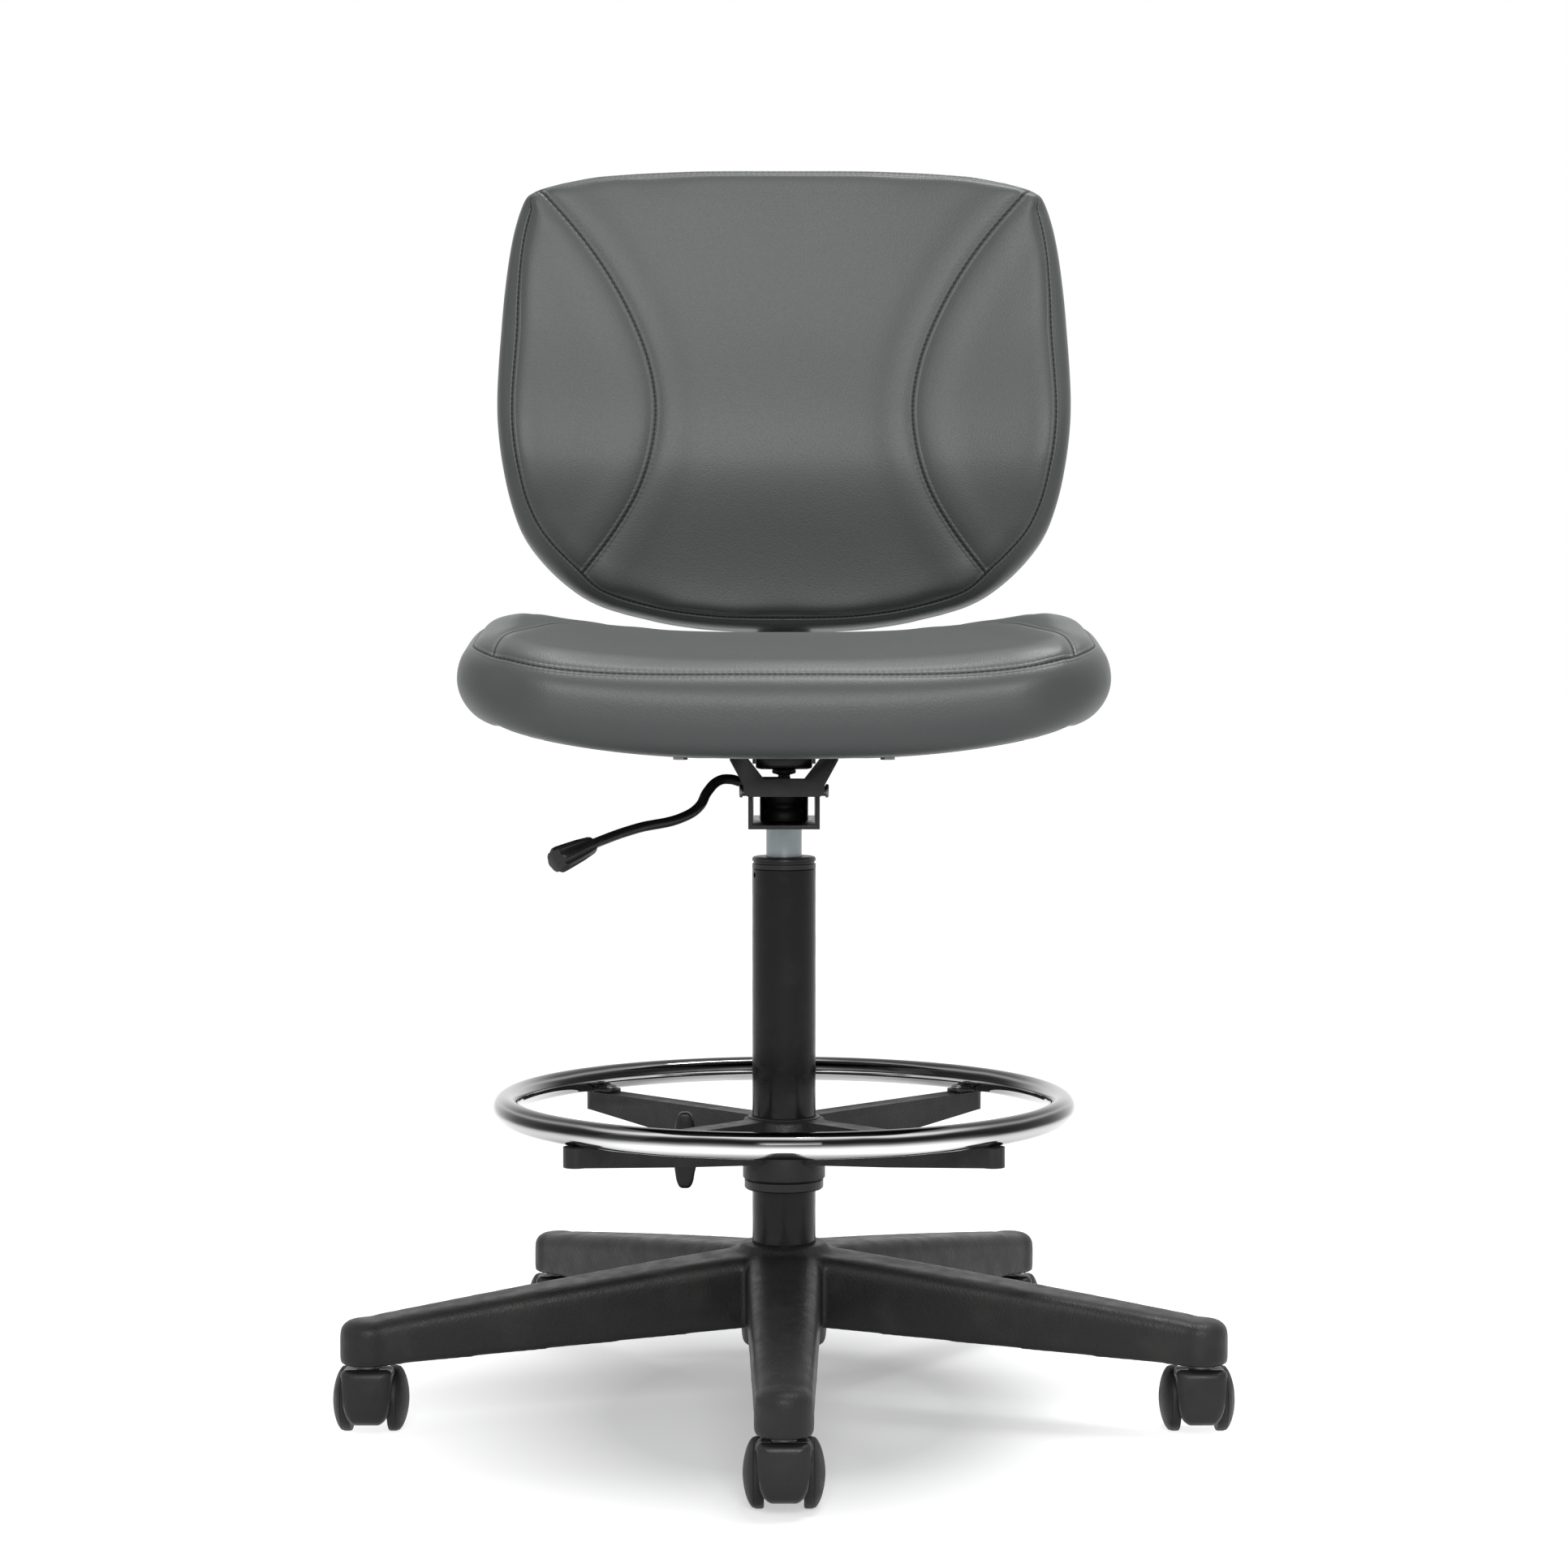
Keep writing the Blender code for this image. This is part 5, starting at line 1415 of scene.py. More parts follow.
    def build(self) -> None:
        """Builds the foot ring and hangs its parts on their bodies."""
        Bench.stand_in(self.ring(), "foot_ring", "ring", CHROME)
        Bench.finish(self.tabs(), "foot_ring_tabs", "ring", COAT)
        Bench.stand_in(self.hub(), "spoke_hub", "ring", NYLON)
        Bench.stand_in(self.sleeve(), "ring_sleeve", "collar", SMOOTH_NYLON)
        Bench.stand_in(self.knob(), "clamp_knob", "clamp", SMOOTH_NYLON)
        master = self.screw()
        for i, angle in enumerate(self.angles(), 1):
            at = (self.screw_at * math.cos(angle), self.screw_at * math.sin(angle), 0.0)
            screw = Bench.place(Bench.copy(master), at, (0.0, 0.0, angle))
            Bench.stand_in(screw, f"ring_screw_{i}", "ring", DARK_STEEL)
        bpy.data.objects.remove(master, do_unlink=True)


# ---------------------------------------------------------------- mechanism


@dataclass
class TiltMechanism:
    """Pan, bracket, tilt axle, rubber buffer and the height lever."""

    pivot_z: float = 0.4945
    lever_radius: float = 0.004
    knob_length: float = 0.042
    buffer_y: float = -0.043
    buffer_radius: float = 0.015
    buffer_low: float = 0.4653
    buffer_high: float = 0.5062
    stop_top: float = 0.5176

    def lever(self) -> tuple[Object, Vector, Vector]:
        """The bent lever rod.

        Returns:
            The rod, the knob's outer end and the direction that it points in.
        """
        path = [
            (0.005, 0.0, self.pivot_z), (-0.015, 0.0, self.pivot_z), (-0.034, 0.0, self.pivot_z),
            (-0.042, -0.002, 0.4965), (-0.051, -0.005, 0.4955), (-0.060, -0.010, 0.4870),
            (-0.066, -0.014, 0.4760), (-0.078, -0.020, 0.4680), (-0.114, -0.038, 0.4600),
            (-0.143, -0.066, 0.4510),
        ]
        end = Vector((-0.1722, -0.105, 0.4392))
        way = (end - Vector(path[-1])).normalized()
        path.append(tuple(end - way * 0.020))
        return Bench.rod("lever", path, self.lever_radius), end, way

    def knob(self) -> Object:
        """The fluted grip, its outer end at the origin and pointing along +Z."""
        knob = Bench.turned(
            "grip",
            [
                (0.0060, -self.knob_length), (0.0070, -self.knob_length + 0.0010), (0.0076, -0.036),
                (0.0086, -0.028), (0.0097, -0.014), (0.0103, -0.0050), (0.0102, -0.0026),
                (0.0092, -0.0008), (0.0080, 0.0), (0.0034, 0.0003), (0.0030, 0.0008),
                (0.0010, 0.0010),
            ],
            64,
        )
        flutes = []
        for i in range(8):
            angle = 2.0 * math.pi * i / 8
            flute = Bench.turned("flute", [(0.0016, -0.052), (0.0034, 0.0060)], 20)
            at = (0.0114 * math.cos(angle), 0.0114 * math.sin(angle), 0.0)
            Bench.place(flute, turn=(0.0, math.radians(4.0), 0.0))
            flutes.append(Bench.place(Bench.settle(flute), at, (0.0, 0.0, angle)))
        Bench.cut(knob, Bench.join(*flutes))
        return Bench.soften(knob, 0.0004, 2, 45.0)

    def buffer(self) -> Object:
        """The waisted rubber buffer with its neck and its cap under the bracket."""
        full, low, high = self.buffer_radius, self.buffer_low, self.buffer_high
        profile = [
            (full - 0.0030, low), (full - 0.0006, low + 0.0010), (full, low + 0.0030),
            (full, low + 0.0076), (full - 0.0014, low + 0.0096), (full - 0.0036, low + 0.0110),
            (full - 0.0038, low + 0.0122), (full - 0.0036, low + 0.0134),
            (full - 0.0014, low + 0.0150), (full - 0.0006, low + 0.0166),
            (full - 0.0006, low + 0.0236), (full - 0.0020, low + 0.0262), (0.0060, low + 0.0275),
            (0.0046, low + 0.0288), (0.0046, low + 0.0365), (0.0070, low + 0.0372),
            (0.0086, low + 0.0376), (0.0092, low + 0.0384), (0.0092, high - 0.0006), (0.0084, high),
        ]
        buffer = Bench.turned("buffer", profile, 64)
        return Bench.place(buffer, (0.0, self.buffer_y, 0.0))

    def stop_block(self) -> Object:
        """The folded stop under the bracket that the buffer's neck runs up to."""
        wide = [(x, self.buffer_high + 0.0002, self.stop_top, 0.030) for x in (-0.0218, 0.0218)]
        block = Bench.bar("stop_block", wide)
        Bench.edit(block)
        Bench.pick(block, Pick.FACES, lambda middle, way: way.z < -0.9)
        bpy.ops.mesh.inset(thickness=0.0045)
        bpy.ops.transform.translate(value=(0.0, 0.0, -0.0012))
        Bench.clear()
        Bench.soften(block, 0.0014, 3)
        return Bench.place(block, (0.0, self.buffer_y, 0.0012))

    def build(self) -> None:
        """Builds the mechanism and hangs its parts on their bodies."""
        CadDress.refine("mechanism_pan", "lift", COAT, 0.0009, 3)
        CadDress.refine("seat_bracket", "seat", COAT, 0.0008, 3)
        CadDress.refine("lever_bush", "lift", SMOOTH_NYLON, 0.0003)
        CadDress.refine("tilt_axle", "lift", DARK_STEEL, 0.0004)
        rod, end, way = self.lever()
        Bench.stand_in(rod, "lever_rod", "lever", COAT)
        knob = self.knob()
        Bench.place(knob, tuple(end), tuple(way.to_track_quat("Z", "Y").to_euler()))
        Bench.stand_in(knob, "lever_knob", "lever", SMOOTH_NYLON)
        buffer = Bench.stand_in(self.buffer(), "tilt_buffer", "lift", BUFFER_RUBBER)
        Bench.finish(self.stop_block(), "buffer_stop", "seat", COAT)
        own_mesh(buffer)


# ---------------------------------------------------------------- upholstery


@dataclass
class Upholsterer:
    """Swells a cushion, works its seams in and stores where they run."""

    voxel: float = 0.006
    shrink: float = 0.0025
    cap: float = 0.0045
    slip: float = 0.0010
    pressure: float = 4.0
    frames: int = 20

    def swell(
        self,
        piece: Object,
        form: Form,
        held: Callable[[np.ndarray], np.ndarray],
    ) -> Object:
        """Shapes a cushion from a block, lets cloth swell it, caps that and subdivides once.

        Args:
            piece: the block, somewhat larger than the cushion.
            form: takes points, and returns how deep each is in the cushion and the way inwards.
            held: takes points and says, 0 to 1, how firmly each is held.

        Returns:
            The swollen cushion.
        """
        Bench.modify(piece, "REMESH", mode="VOXEL", voxel_size=self.voxel)
        for _ in range(3):
            self.fit(piece, form)
            Bench.modify(piece, "SMOOTH", factor=0.5, iterations=3)
        self.fit(piece, form)
        rest = points_of(piece)
        moved = self.simulate(piece, held(rest))
        away = moved - rest
        normals = normals_of(piece)
        rise = (away * normals).sum(axis=1)
        slide = away - rise[:, None] * normals
        slid = np.linalg.norm(slide, axis=1)
        slide *= np.minimum(1.0, self.slip / np.maximum(slid, 1e-9))[:, None]
        slide = np.column_stack([self.evened(piece, part, 8) for part in slide.T])
        LOG.info("swelling: least, middle, most %s mm", np.quantile(1000 * rise, (0, 0.5, 1)))
        rise = self.cap * (1.0 - np.exp(-np.maximum(rise, 0.0) / self.cap))
        rise = self.evened(piece, rise)
        set_points(piece, rest + slide + normals * rise[:, None])
        return Bench.modify(piece, "SUBSURF", levels=1, render_levels=1)

    @staticmethod
    def evened(piece: Object, values: np.ndarray, rounds: int = 14) -> np.ndarray:
        """Averages a number over each point's neighbours.

        Args:
            piece: the mesh.
            values: one number for each of its points.
            rounds: how many times it is averaged.

        Returns:
            The evened numbers.
        """
        flat = np.empty(len(piece.data.edges) * 2, np.int32)
        piece.data.edges.foreach_get("vertices", flat)
        first, last = flat.reshape(-1, 2).T
        count = np.bincount(flat, minlength=len(values))
        for _ in range(rounds):
            total = np.bincount(first, values[last], len(values))
            total += np.bincount(last, values[first], len(values))
            values = 0.5 * values + 0.5 * total / count
        return values

    def fit(self, piece: Object, form: Form) -> None:
        """Draws a piece's points onto the form, taken in by what the cloth gives back."""
        points = points_of(piece)
        for _ in range(6):
            depth, way = form(points)
            size = np.maximum((way**2).sum(axis=1), 0.2)
            step = np.clip((self.shrink - depth) / size, -0.012, 0.012)
            points += way * step[:, None]
        set_points(piece, points)

    def simulate(self, piece: Object, held: np.ndarray) -> np.ndarray:
        """Runs the cloth and returns where its points end.

        Args:
            piece: the remeshed cushion.
            held: how firmly each point is held.

        Returns:
            The points after the last frame.
        """
        group = piece.vertex_groups.new(name="held")
        for level in np.unique(np.round(held, 1)):
            chosen = np.flatnonzero(np.round(held, 1) == level)
            group.add([int(i) for i in chosen], float(level), "REPLACE")
        step = piece.modifiers.new("Cloth", "CLOTH")
        cloth = step.settings
        cloth.quality = 5
        cloth.mass = 0.35
        cloth.use_pressure = True
        cloth.uniform_pressure_force = self.pressure
        cloth.tension_stiffness = cloth.compression_stiffness = 18.0
        cloth.bending_stiffness = 1.5
        cloth.vertex_group_mass = "held"
        cloth.pin_stiffness = 1.0
        cloth.effector_weights.gravity = 0.0
        step.point_cache.frame_start = 1
        step.point_cache.frame_end = self.frames
        scene = bpy.context.scene
        for number in range(1, self.frames + 1):
            scene.frame_set(number)
        evaluated = piece.evaluated_get(bpy.context.evaluated_depsgraph_get())
        count = len(piece.data.vertices)
        moved = np.empty(count * 3, np.float32)
        evaluated.data.vertices.foreach_get("co", moved)
        piece.modifiers.clear()
        piece.vertex_groups.clear()
        scene.frame_set(1)
        return moved.reshape(-1, 3).astype(float)

    @staticmethod
    def stitch(
        piece: Object,
        rim: np.ndarray,
        rim_run: np.ndarray,
        panel: np.ndarray,
        panel_run: np.ndarray,
    ) -> None:
        """Presses the seams into a cushion and stores where they run.

        Args:
            piece: the cushion.
            rim: signed distance of each point from the rim seam, positive on the face.
            rim_run: distance along the rim seam.
            panel: signed distance from the panel seams.
            panel_run: distance along the panel seams.
        """
        points, normals = points_of(piece), normals_of(piece)
        face = np.clip(rim / 0.004, 0.0, 1.0)
        groove = 0.0010 * hump(rim / 0.0042) + 0.0014 * face * hump(panel / 0.0050)
        beside_rim = hump((np.abs(rim) - 0.012) / 0.007)
        beside_panel = hump((np.abs(panel) - 0.018) / 0.013)
        crown = 0.0004 * beside_rim + 0.0008 * face * beside_panel
        set_points(piece, points + normals * (crown - groove)[:, None])
        for name, values in (
            ("rim_seam", rim),
            ("rim_run", rim_run),
            ("panel_seam", panel),
            ("panel_run", panel_run),
        ):
            layer = piece.data.attributes.new(name, "FLOAT", "POINT")
            layer.data.foreach_set("value", values.astype(np.float32))

    @staticmethod
    def cover(piece: Object, name: str, *nodes: str) -> None:
        """Args:
            piece: the stitched cushion.
            name: its name.
            nodes: the CAD nodes that it stands for.
        """
        Bench.finish(piece, name, "seat", LEATHER, *nodes, in_frame=True, angle=180.0)


def points_of(piece: Object) -> np.ndarray:
    """A piece's points as rows."""
    flat = np.empty(len(piece.data.vertices) * 3, np.float32)
    piece.data.vertices.foreach_get("co", flat)
    return flat.reshape(-1, 3).astype(float)


def normals_of(piece: Object) -> np.ndarray:
    """The direction in which each of a piece's points faces."""
    flat = np.empty(len(piece.data.vertices) * 3, np.float32)
    piece.data.vertex_normals.foreach_get("vector", flat)
    return flat.reshape(-1, 3).astype(float)


def set_points(piece: Object, points: np.ndarray) -> None:
    """Moves a piece's points."""
    piece.data.vertices.foreach_set("co", points.astype(np.float32).ravel())
    piece.data.update()


def hump(off: np.ndarray) -> np.ndarray:
    """A smooth hump, 1 in its middle."""
    return np.exp(-(off**2))


def ease(share: np.ndarray) -> np.ndarray:
    """A share limited to 0..1 and rounded at both ends."""
    share = np.clip(share, 0.0, 1.0)
    return share * share * (3.0 - 2.0 * share)


def inward(loop: np.ndarray, x: np.ndarray, y: np.ndarray) -> tuple[np.ndarray, ...]:
    """How far points lie inside a closed loop, which way that is, and how far along the loop.

    Args:
        loop: the loop's points as rows, anticlockwise.
        x: first coordinate of each point.
        y: second coordinate of each point.

    Returns:
        The distance inside, negative outside; both parts of the way inwards; and the distance
        along the loop.
    """
    ways = np.roll(loop, -1, axis=0) - loop
    sizes = np.linalg.norm(ways, axis=1)
    starts = np.concatenate([[0.0], np.cumsum(sizes)[:-1]])
    best = np.full(len(x), np.inf)
    depth, run, way_x, way_y = (np.zeros(len(x)) for _ in range(4))
    for corner, way, size, start in zip(loop, ways, sizes, starts, strict=True):
        off_x, off_y = x - corner[0], y - corner[1]
        along = np.clip((off_x * way[0] + off_y * way[1]) / size**2, 0.0, 1.0)
        gap_x, gap_y = off_x - along * way[0], off_y - along * way[1]
        far = np.hypot(gap_x, gap_y)
        side = np.sign(way[0] * off_y - way[1] * off_x)
        nearer = far < best
        best = np.where(nearer, far, best)
        depth = np.where(nearer, side * far, depth)
        run = np.where(nearer, start + along * size, run)
        share = side / np.maximum(far, 1e-9)
        way_x = np.where(nearer, gap_x * share, way_x)
        way_y = np.where(nearer, gap_y * share, way_y)
    return depth, way_x, way_y, run


def padded_body(
    depths: tuple[np.ndarray, np.ndarray, np.ndarray],
    ways: tuple[np.ndarray, np.ndarray, np.ndarray],
    radii: tuple[float | np.ndarray, float | np.ndarray],
) -> tuple[np.ndarray, np.ndarray]:
    """Meets an outline, a top and an underside in rounded edges.

    Args:
        depths: how deep points are behind the outline, under the top and over the underside.
        ways: the way inwards for each of the three, as rows.
        radii: radius of the top edge and of the bottom edge.

    Returns:
        How deep each point is in the body, and the way inwards as rows.
    """
    radius = np.where(depths[1] < depths[2], radii[0], radii[1])
    near = [np.maximum(radius - depth, 0.0) for depth in depths]
    total = np.sqrt(sum(share**2 for share in near))
    way = sum(share[:, None] * row for share, row in zip(near, ways, strict=True))
    return radius - total, way / np.maximum(total, 1e-6)[:, None]


def slopes(height: Surface, x: np.ndarray, y: np.ndarray) -> tuple[np.ndarray, np.ndarray]:
    """How a height changes along both of its directions."""
    gap = 0.0005
    return (
        (height(x + gap, y) - height(x - gap, y)) / (2 * gap),
        (height(x, y + gap) - height(x, y - gap)) / (2 * gap),
    )


def cushion_form(
    loop: np.ndarray,
    upper: Surface,
    lower: Surface,
    place: tuple[np.ndarray, np.ndarray, np.ndarray],
    radii: Callable[[np.ndarray], tuple[float | np.ndarray, float]],
) -> tuple[np.ndarray, np.ndarray]:
    """The padded body between two surfaces inside an outline.

    Args:
        loop: the outline.
        upper: height of the upper surface.
        lower: height of the lower surface.
        place: the points' coordinates along, across and over the outline.
        radii: takes the second part of the way inwards, and gives the radii of the two edges.

    Returns:
        How deep each point is in the body, and the way inwards as rows.
    """
    x, y, z = place
    depth, way_x, way_y, _ = inward(loop, x, y)
    upper_x, upper_y = slopes(upper, x, y)
    lower_x, lower_y = slopes(lower, x, y)
    none, one = np.zeros(len(x)), np.ones(len(x))
    ways = (
        np.column_stack([way_x, way_y, none]),
        np.column_stack([upper_x, upper_y, -one]),
        np.column_stack([-lower_x, -lower_y, one]),
    )
    return padded_body((depth, upper(x, y) - z, z - lower(x, y)), ways, radii(way_y))


def off_seam(
    seam: Callable[[np.ndarray], np.ndarray], across: np.ndarray, along: np.ndarray
) -> np.ndarray:
    """How far points lie outside a pair of mirrored seams.

    Args:
        seam: takes places along the seam, and gives its distance from the middle.
        across: the points' distance from the middle, with its sign.
        along: their place along the seam.

    Returns:
        The signed distances.
    """
    gap = 0.001
    slope = (seam(along + gap) - seam(along - gap)) / (2 * gap)
    return (np.abs(across) - seam(along)) / np.sqrt(1.0 + slope**2)


def smooth_table(rows: Sequence[tuple[float, float]], at: np.ndarray) -> np.ndarray:
    """Reads a smooth curve through (place, value) rows."""
    places, values = np.array(rows).T
    slope = np.gradient(values, places)
    i = np.clip(np.searchsorted(places, at) - 1, 0, len(places) - 2)
    gap = places[i + 1] - places[i]
    t = np.clip((at - places[i]) / gap, 0.0, 1.0)
    first = values[i] * (1 + 2 * t) + gap * slope[i] * t
    last = values[i + 1] * (3 - 2 * t) - gap * slope[i + 1] * (1 - t)
    return first * (1 - t) ** 2 + last * t**2


@dataclass
class Seat:
    """The seat: its swollen cushion round the board, the dust cloth under it, and its bolts."""

    half: float = 0.2420
    front: float = -0.255
    rear: float = 0.200
    corner: float = 0.078
    board_margin: float = 0.036
    edges: tuple[float, float] = (0.034, 0.026)
    top_height: float = 0.610
    rim_height: float = 0.5186
    board_height: float = 0.5212

    def outline(self, taken: float = 0.0) -> np.ndarray:
        """The plan outline as an anticlockwise loop.

        Args:
            taken: how far it is taken in.

        Returns:
            Its points as rows.
        """
        rows: list[tuple[float, float]] = []
        half, front, rear = self.half - taken, self.front + taken, self.rear - taken
        radius = self.corner - taken
        corners = (
            (half - radius, rear - radius), (radius - half, rear - radius),
            (radius - half, front + radius), (half - radius, front + radius),
        )
        for turn, (x, y) in enumerate(corners):
            for i in range(17):
                angle = math.pi / 2 * (turn + i / 16)
                rows.append((x + radius * math.cos(angle), y + radius * math.sin(angle)))
        return np.array(rows)

    @staticmethod
    def local(points: np.ndarray) -> tuple[np.ndarray, np.ndarray, np.ndarray]:
        """The coordinates of points of the frame, from the column's axis."""
        return points[:, 0], points[:, 1] - COLUMN_Y, points[:, 2]

    def top(self, x: np.ndarray, y: np.ndarray) -> np.ndarray:
        """Height of the top before it swells."""
        front = ease((-0.06 - y) / 0.20) * 0.020
        rear = ease((y - 0.08) / 0.10) * 0.008
        sides = 0.016 * np.minimum(1.0, np.abs(x) / 0.2) ** 3
        return self.top_height - front - rear + sides

    def under(self, x: np.ndarray, y: np.ndarray) -> np.ndarray:
        """Height of the underside: the cover's rim, and the board's face inside it."""
        rim = self.rim_height + 1.55 * np.abs(x) ** 2.7
        board = np.maximum(self.board_height, rim + 0.0018)
        inside = np.minimum(self.half - np.abs(x), np.minimum(y - self.front, self.rear - y))
        return rim + (board - rim) * ease((inside - self.board_margin + 0.005) / 0.008)

    def form(self, points: np.ndarray) -> tuple[np.ndarray, np.ndarray]:
        """How deep points of the frame are in the cushion, and the way inwards."""
        place = self.local(points)
        return cushion_form(self.outline(), self.top, self.under, place, lambda _: self.edges)

    @staticmethod
    def bolster(y: np.ndarray) -> np.ndarray:
        """How far from the middle the bolster seam runs."""
        rows = (
            (-0.275, 0.219), (-0.245, 0.213), (-0.200, 0.204), (-0.165, 0.194), (-0.106, 0.173),
            (-0.060, 0.153), (-0.020, 0.139), (0.030, 0.132), (0.080, 0.138), (0.130, 0.157),
            (0.170, 0.184), (0.215, 0.222),
        )
        return smooth_table(rows, y)

    def cushion(self) -> None:
        """Builds the cushion with its cover drawn round the board."""
        piece = Bench.prism("seat_block", self.outline(), 0.517, 0.632)
        piece.location.y = COLUMN_Y
        Bench.settle(piece)
        work = Upholsterer()

        def held(points: np.ndarray) -> np.ndarray:
            """1 where the cover is stapled to the board, 0 elsewhere."""
            x, y, z = self.local(points)
            inside = inward(self.outline(), x, y)[0] > 0.5 * self.board_margin
            return np.where(inside & (z < self.under(x, y) + 0.012), 1.0, 0.0)

        work.swell(piece, self.form, held)
        x, y, z = self.local(points_of(piece))
        depth, _, _, run = inward(self.outline(), x, y)
        rise_to_side = 0.0113 * ease((np.abs(x) - 0.02) / 0.19)
        fall_at_corner = 0.0085 * ease((np.abs(x) - 0.2) / 0.03)
        drop = -0.0078 + rise_to_side - fall_at_corner
        fall = self.top(x, y) - z
        rim = (depth - fall + drop) / 1.35
        rim = np.where(z - self.under(x, y) > 0.5 * fall, rim, -0.1)
        work.stitch(piece, rim, run, off_seam(self.bolster, x, y), y * 1.15)
        work.cover(piece, "seat_cushion_cover", "seat_cushion", "seat_board")

    def dust_cloth(self) -> None:
        """The thin black cloth stretched under the board, over the cover's turned-in edge."""
        Bench.clear()
        cell = 0.006
        loop = self.outline(self.board_margin + 0.006)
        bpy.ops.mesh.primitive_grid_add(x_subdivisions=80, y_subdivisions=76, size=1.0)
        piece = bpy.context.object
        piece.scale = (80 * cell, 76 * cell, 1.0)
        piece.location = (0.0, (self.front + self.rear) / 2, 0.0)
        Bench.settle(piece)
        x, y, _ = points_of(piece).T
        kept = inward(loop, x, y)[0]
        Bench.edit(piece, Pick.POINTS)
        shape = bmesh.from_edit_mesh(piece.data)
        for point, depth in zip(shape.verts, kept, strict=True):
            point.select_set(bool(depth < -0.5 * cell))
        shape.select_flush(True)
        bpy.ops.mesh.delete(type="VERT")
        Bench.clear()
        x, y, _ = points_of(piece).T
        depth, way_x, way_y, _ = inward(loop, x, y)
        pull = np.where(depth < 0.4 * cell, -depth, 0.0)
        x, y = x + way_x * pull, y + way_y * pull
        sag = 0.0012 * ease((inward(loop, x, y)[0] - 0.01) / 0.05)
        flat = np.abs(x) < 0.104
        height = self.under(x, y) - 0.0002 - np.where(flat, 0.0, 0.5 * sag)
        set_points(piece, np.column_stack([x, y, height]))
        Bench.modify(piece, "SOLIDIFY", thickness=0.0002, offset=0.0)
        Bench.finish(piece, "seat_dust_cloth", "seat", DUST_CLOTH)
        flat = tuple(float(side) for side in (2 * loop[:, 0].max() * 1.02, np.ptp(loop[:, 1])))

    def build(self) -> None:
        """Builds the seat."""
        self.cushion()
        self.dust_cloth()
        for i in range(1, 5):
            CadDress.refine(f"seat_bolt_{i}", "seat", DARK_STEEL, 0.0004)


@dataclass
class Back:
    """The back: its swollen cushion round the board, the steel bar and the bolts."""

    lean: float = math.radians(6.0)
    foot_y: float = 0.244
    foot_z: float = 0.806
    half: float = 0.241
    thick: float = 0.064
    side_thick: float = 0.052
    wrap: float = 0.034
    edges: tuple[float, float] = (0.020, 0.012)

    def outline(self) -> np.ndarray:
        """The back's outline as an anticlockwise loop of (across, up)."""
        half = (
            (0.000, -0.1990), (0.060, -0.1975), (0.112, -0.1900), (0.166, -0.1735),
            (0.207, -0.1390), (0.229, -0.0980), (self.half, -0.0250), (0.2385, 0.0550),
            (0.2325, 0.1130), (0.2250, 0.1480), (0.2175, 0.1635), (0.2055, 0.1715),
            (0.1790, 0.1795), (0.1460, 0.1856), (0.0800, 0.1905), (0.0000, 0.1915),
        )
        loop = [*half, *[(-x, v) for x, v in reversed(half[1:-1])]]
        rows = []
        count = len(loop)
        for i in range(count):
            a, b, c, d = (np.array(loop[(i + k) % count]) for k in (-1, 0, 1, 2))
            for step in range(8):
                t = step / 8
                rows.append(
                    0.5
                    * (
                        2 * b
                        + (c - a) * t
                        + (2 * a - 5 * b + 4 * c - d) * t**2
                        + (3 * b - 3 * c + d - a) * t**3
                    )
                )
        return np.array(rows)

    def local(self, points: np.ndarray) -> tuple[np.ndarray, np.ndarray, np.ndarray]:
        """Points as across, up and forward of the back's rear face.

        Args:
            points: rows in the frame.

        Returns:
            The three coordinates.
        """
        y = points[:, 1] - COLUMN_Y - self.foot_y
        z = points[:, 2] - self.foot_z
        up = y * math.sin(self.lean) + z * math.cos(self.lean)
        out = -y * math.cos(self.lean) + z * math.sin(self.lean)
        return points[:, 0], up, out

    @staticmethod
    def on_top(way_up: np.ndarray) -> np.ndarray:
        """How much the outline runs along the top, from the upward part of the way inwards."""
        return ease((-way_up - 0.35) / 0.5)

    def rear(self, x: np.ndarray, _: np.ndarray) -> np.ndarray:
        """How far the rear face stands forward, which is the same all the way up."""
        return self.wrap * (x / self.half) ** 2

    def front(self, x: np.ndarray, up: np.ndarray) -> np.ndarray:
        """How far the front face stands forward before it swells."""
        side = np.minimum(1.0, np.abs(x) / self.half) ** 2
        swell = 0.008 * hump((up + 0.045) / 0.075)
        swell -= 0.013 * ease((-0.055 - up) / 0.14)
        thick = self.thick + (self.side_thick - self.thick) * side
        return self.rear(x, up) + thick + swell

    def form(self, points: np.ndarray) -> tuple[np.ndarray, np.ndarray]:
        """How deep points of the frame are in the back, and the way inwards."""
        value, way = cushion_form(
            self.outline(),
            self.front,
            self.rear,
            self.local(points),
            lambda way_up: (self.edges[0] - 0.011 * self.on_top(way_up), self.edges[1]),
        )
        high = np.array([0.0, math.sin(self.lean), math.cos(self.lean)])
        ahead = np.array([0.0, -math.cos(self.lean), math.sin(self.lean)])
        across = np.array([1.0, 0.0, 0.0])
        return value, way[:, :1] * across + way[:, 1:2] * high + way[:, 2:] * ahead

    @staticmethod
    def waist(up: np.ndarray) -> np.ndarray:
        """How far from the middle the panel seam runs."""
        rows = (
            (-0.200, 0.207), (-0.152, 0.167), (-0.123, 0.144), (-0.087, 0.1220), (-0.045, 0.1090),
            (-0.014, 0.1068), (0.022, 0.1125), (0.062, 0.1275), (0.118, 0.1610), (0.168, 0.2045),
            (0.200, 0.238),
        )
        return smooth_table(rows, up)

    def cushion(self) -> None:
        """Builds the cushion and its rear cover as one upholstered body round the board."""
        piece = Bench.prism("back_block", self.outline(), -0.001, 0.106)
        turn = (math.pi / 2 - self.lean, 0.0, 0.0)
        Bench.place(piece, (0.0, self.foot_y + COLUMN_Y, self.foot_z), turn)
        work = Upholsterer()

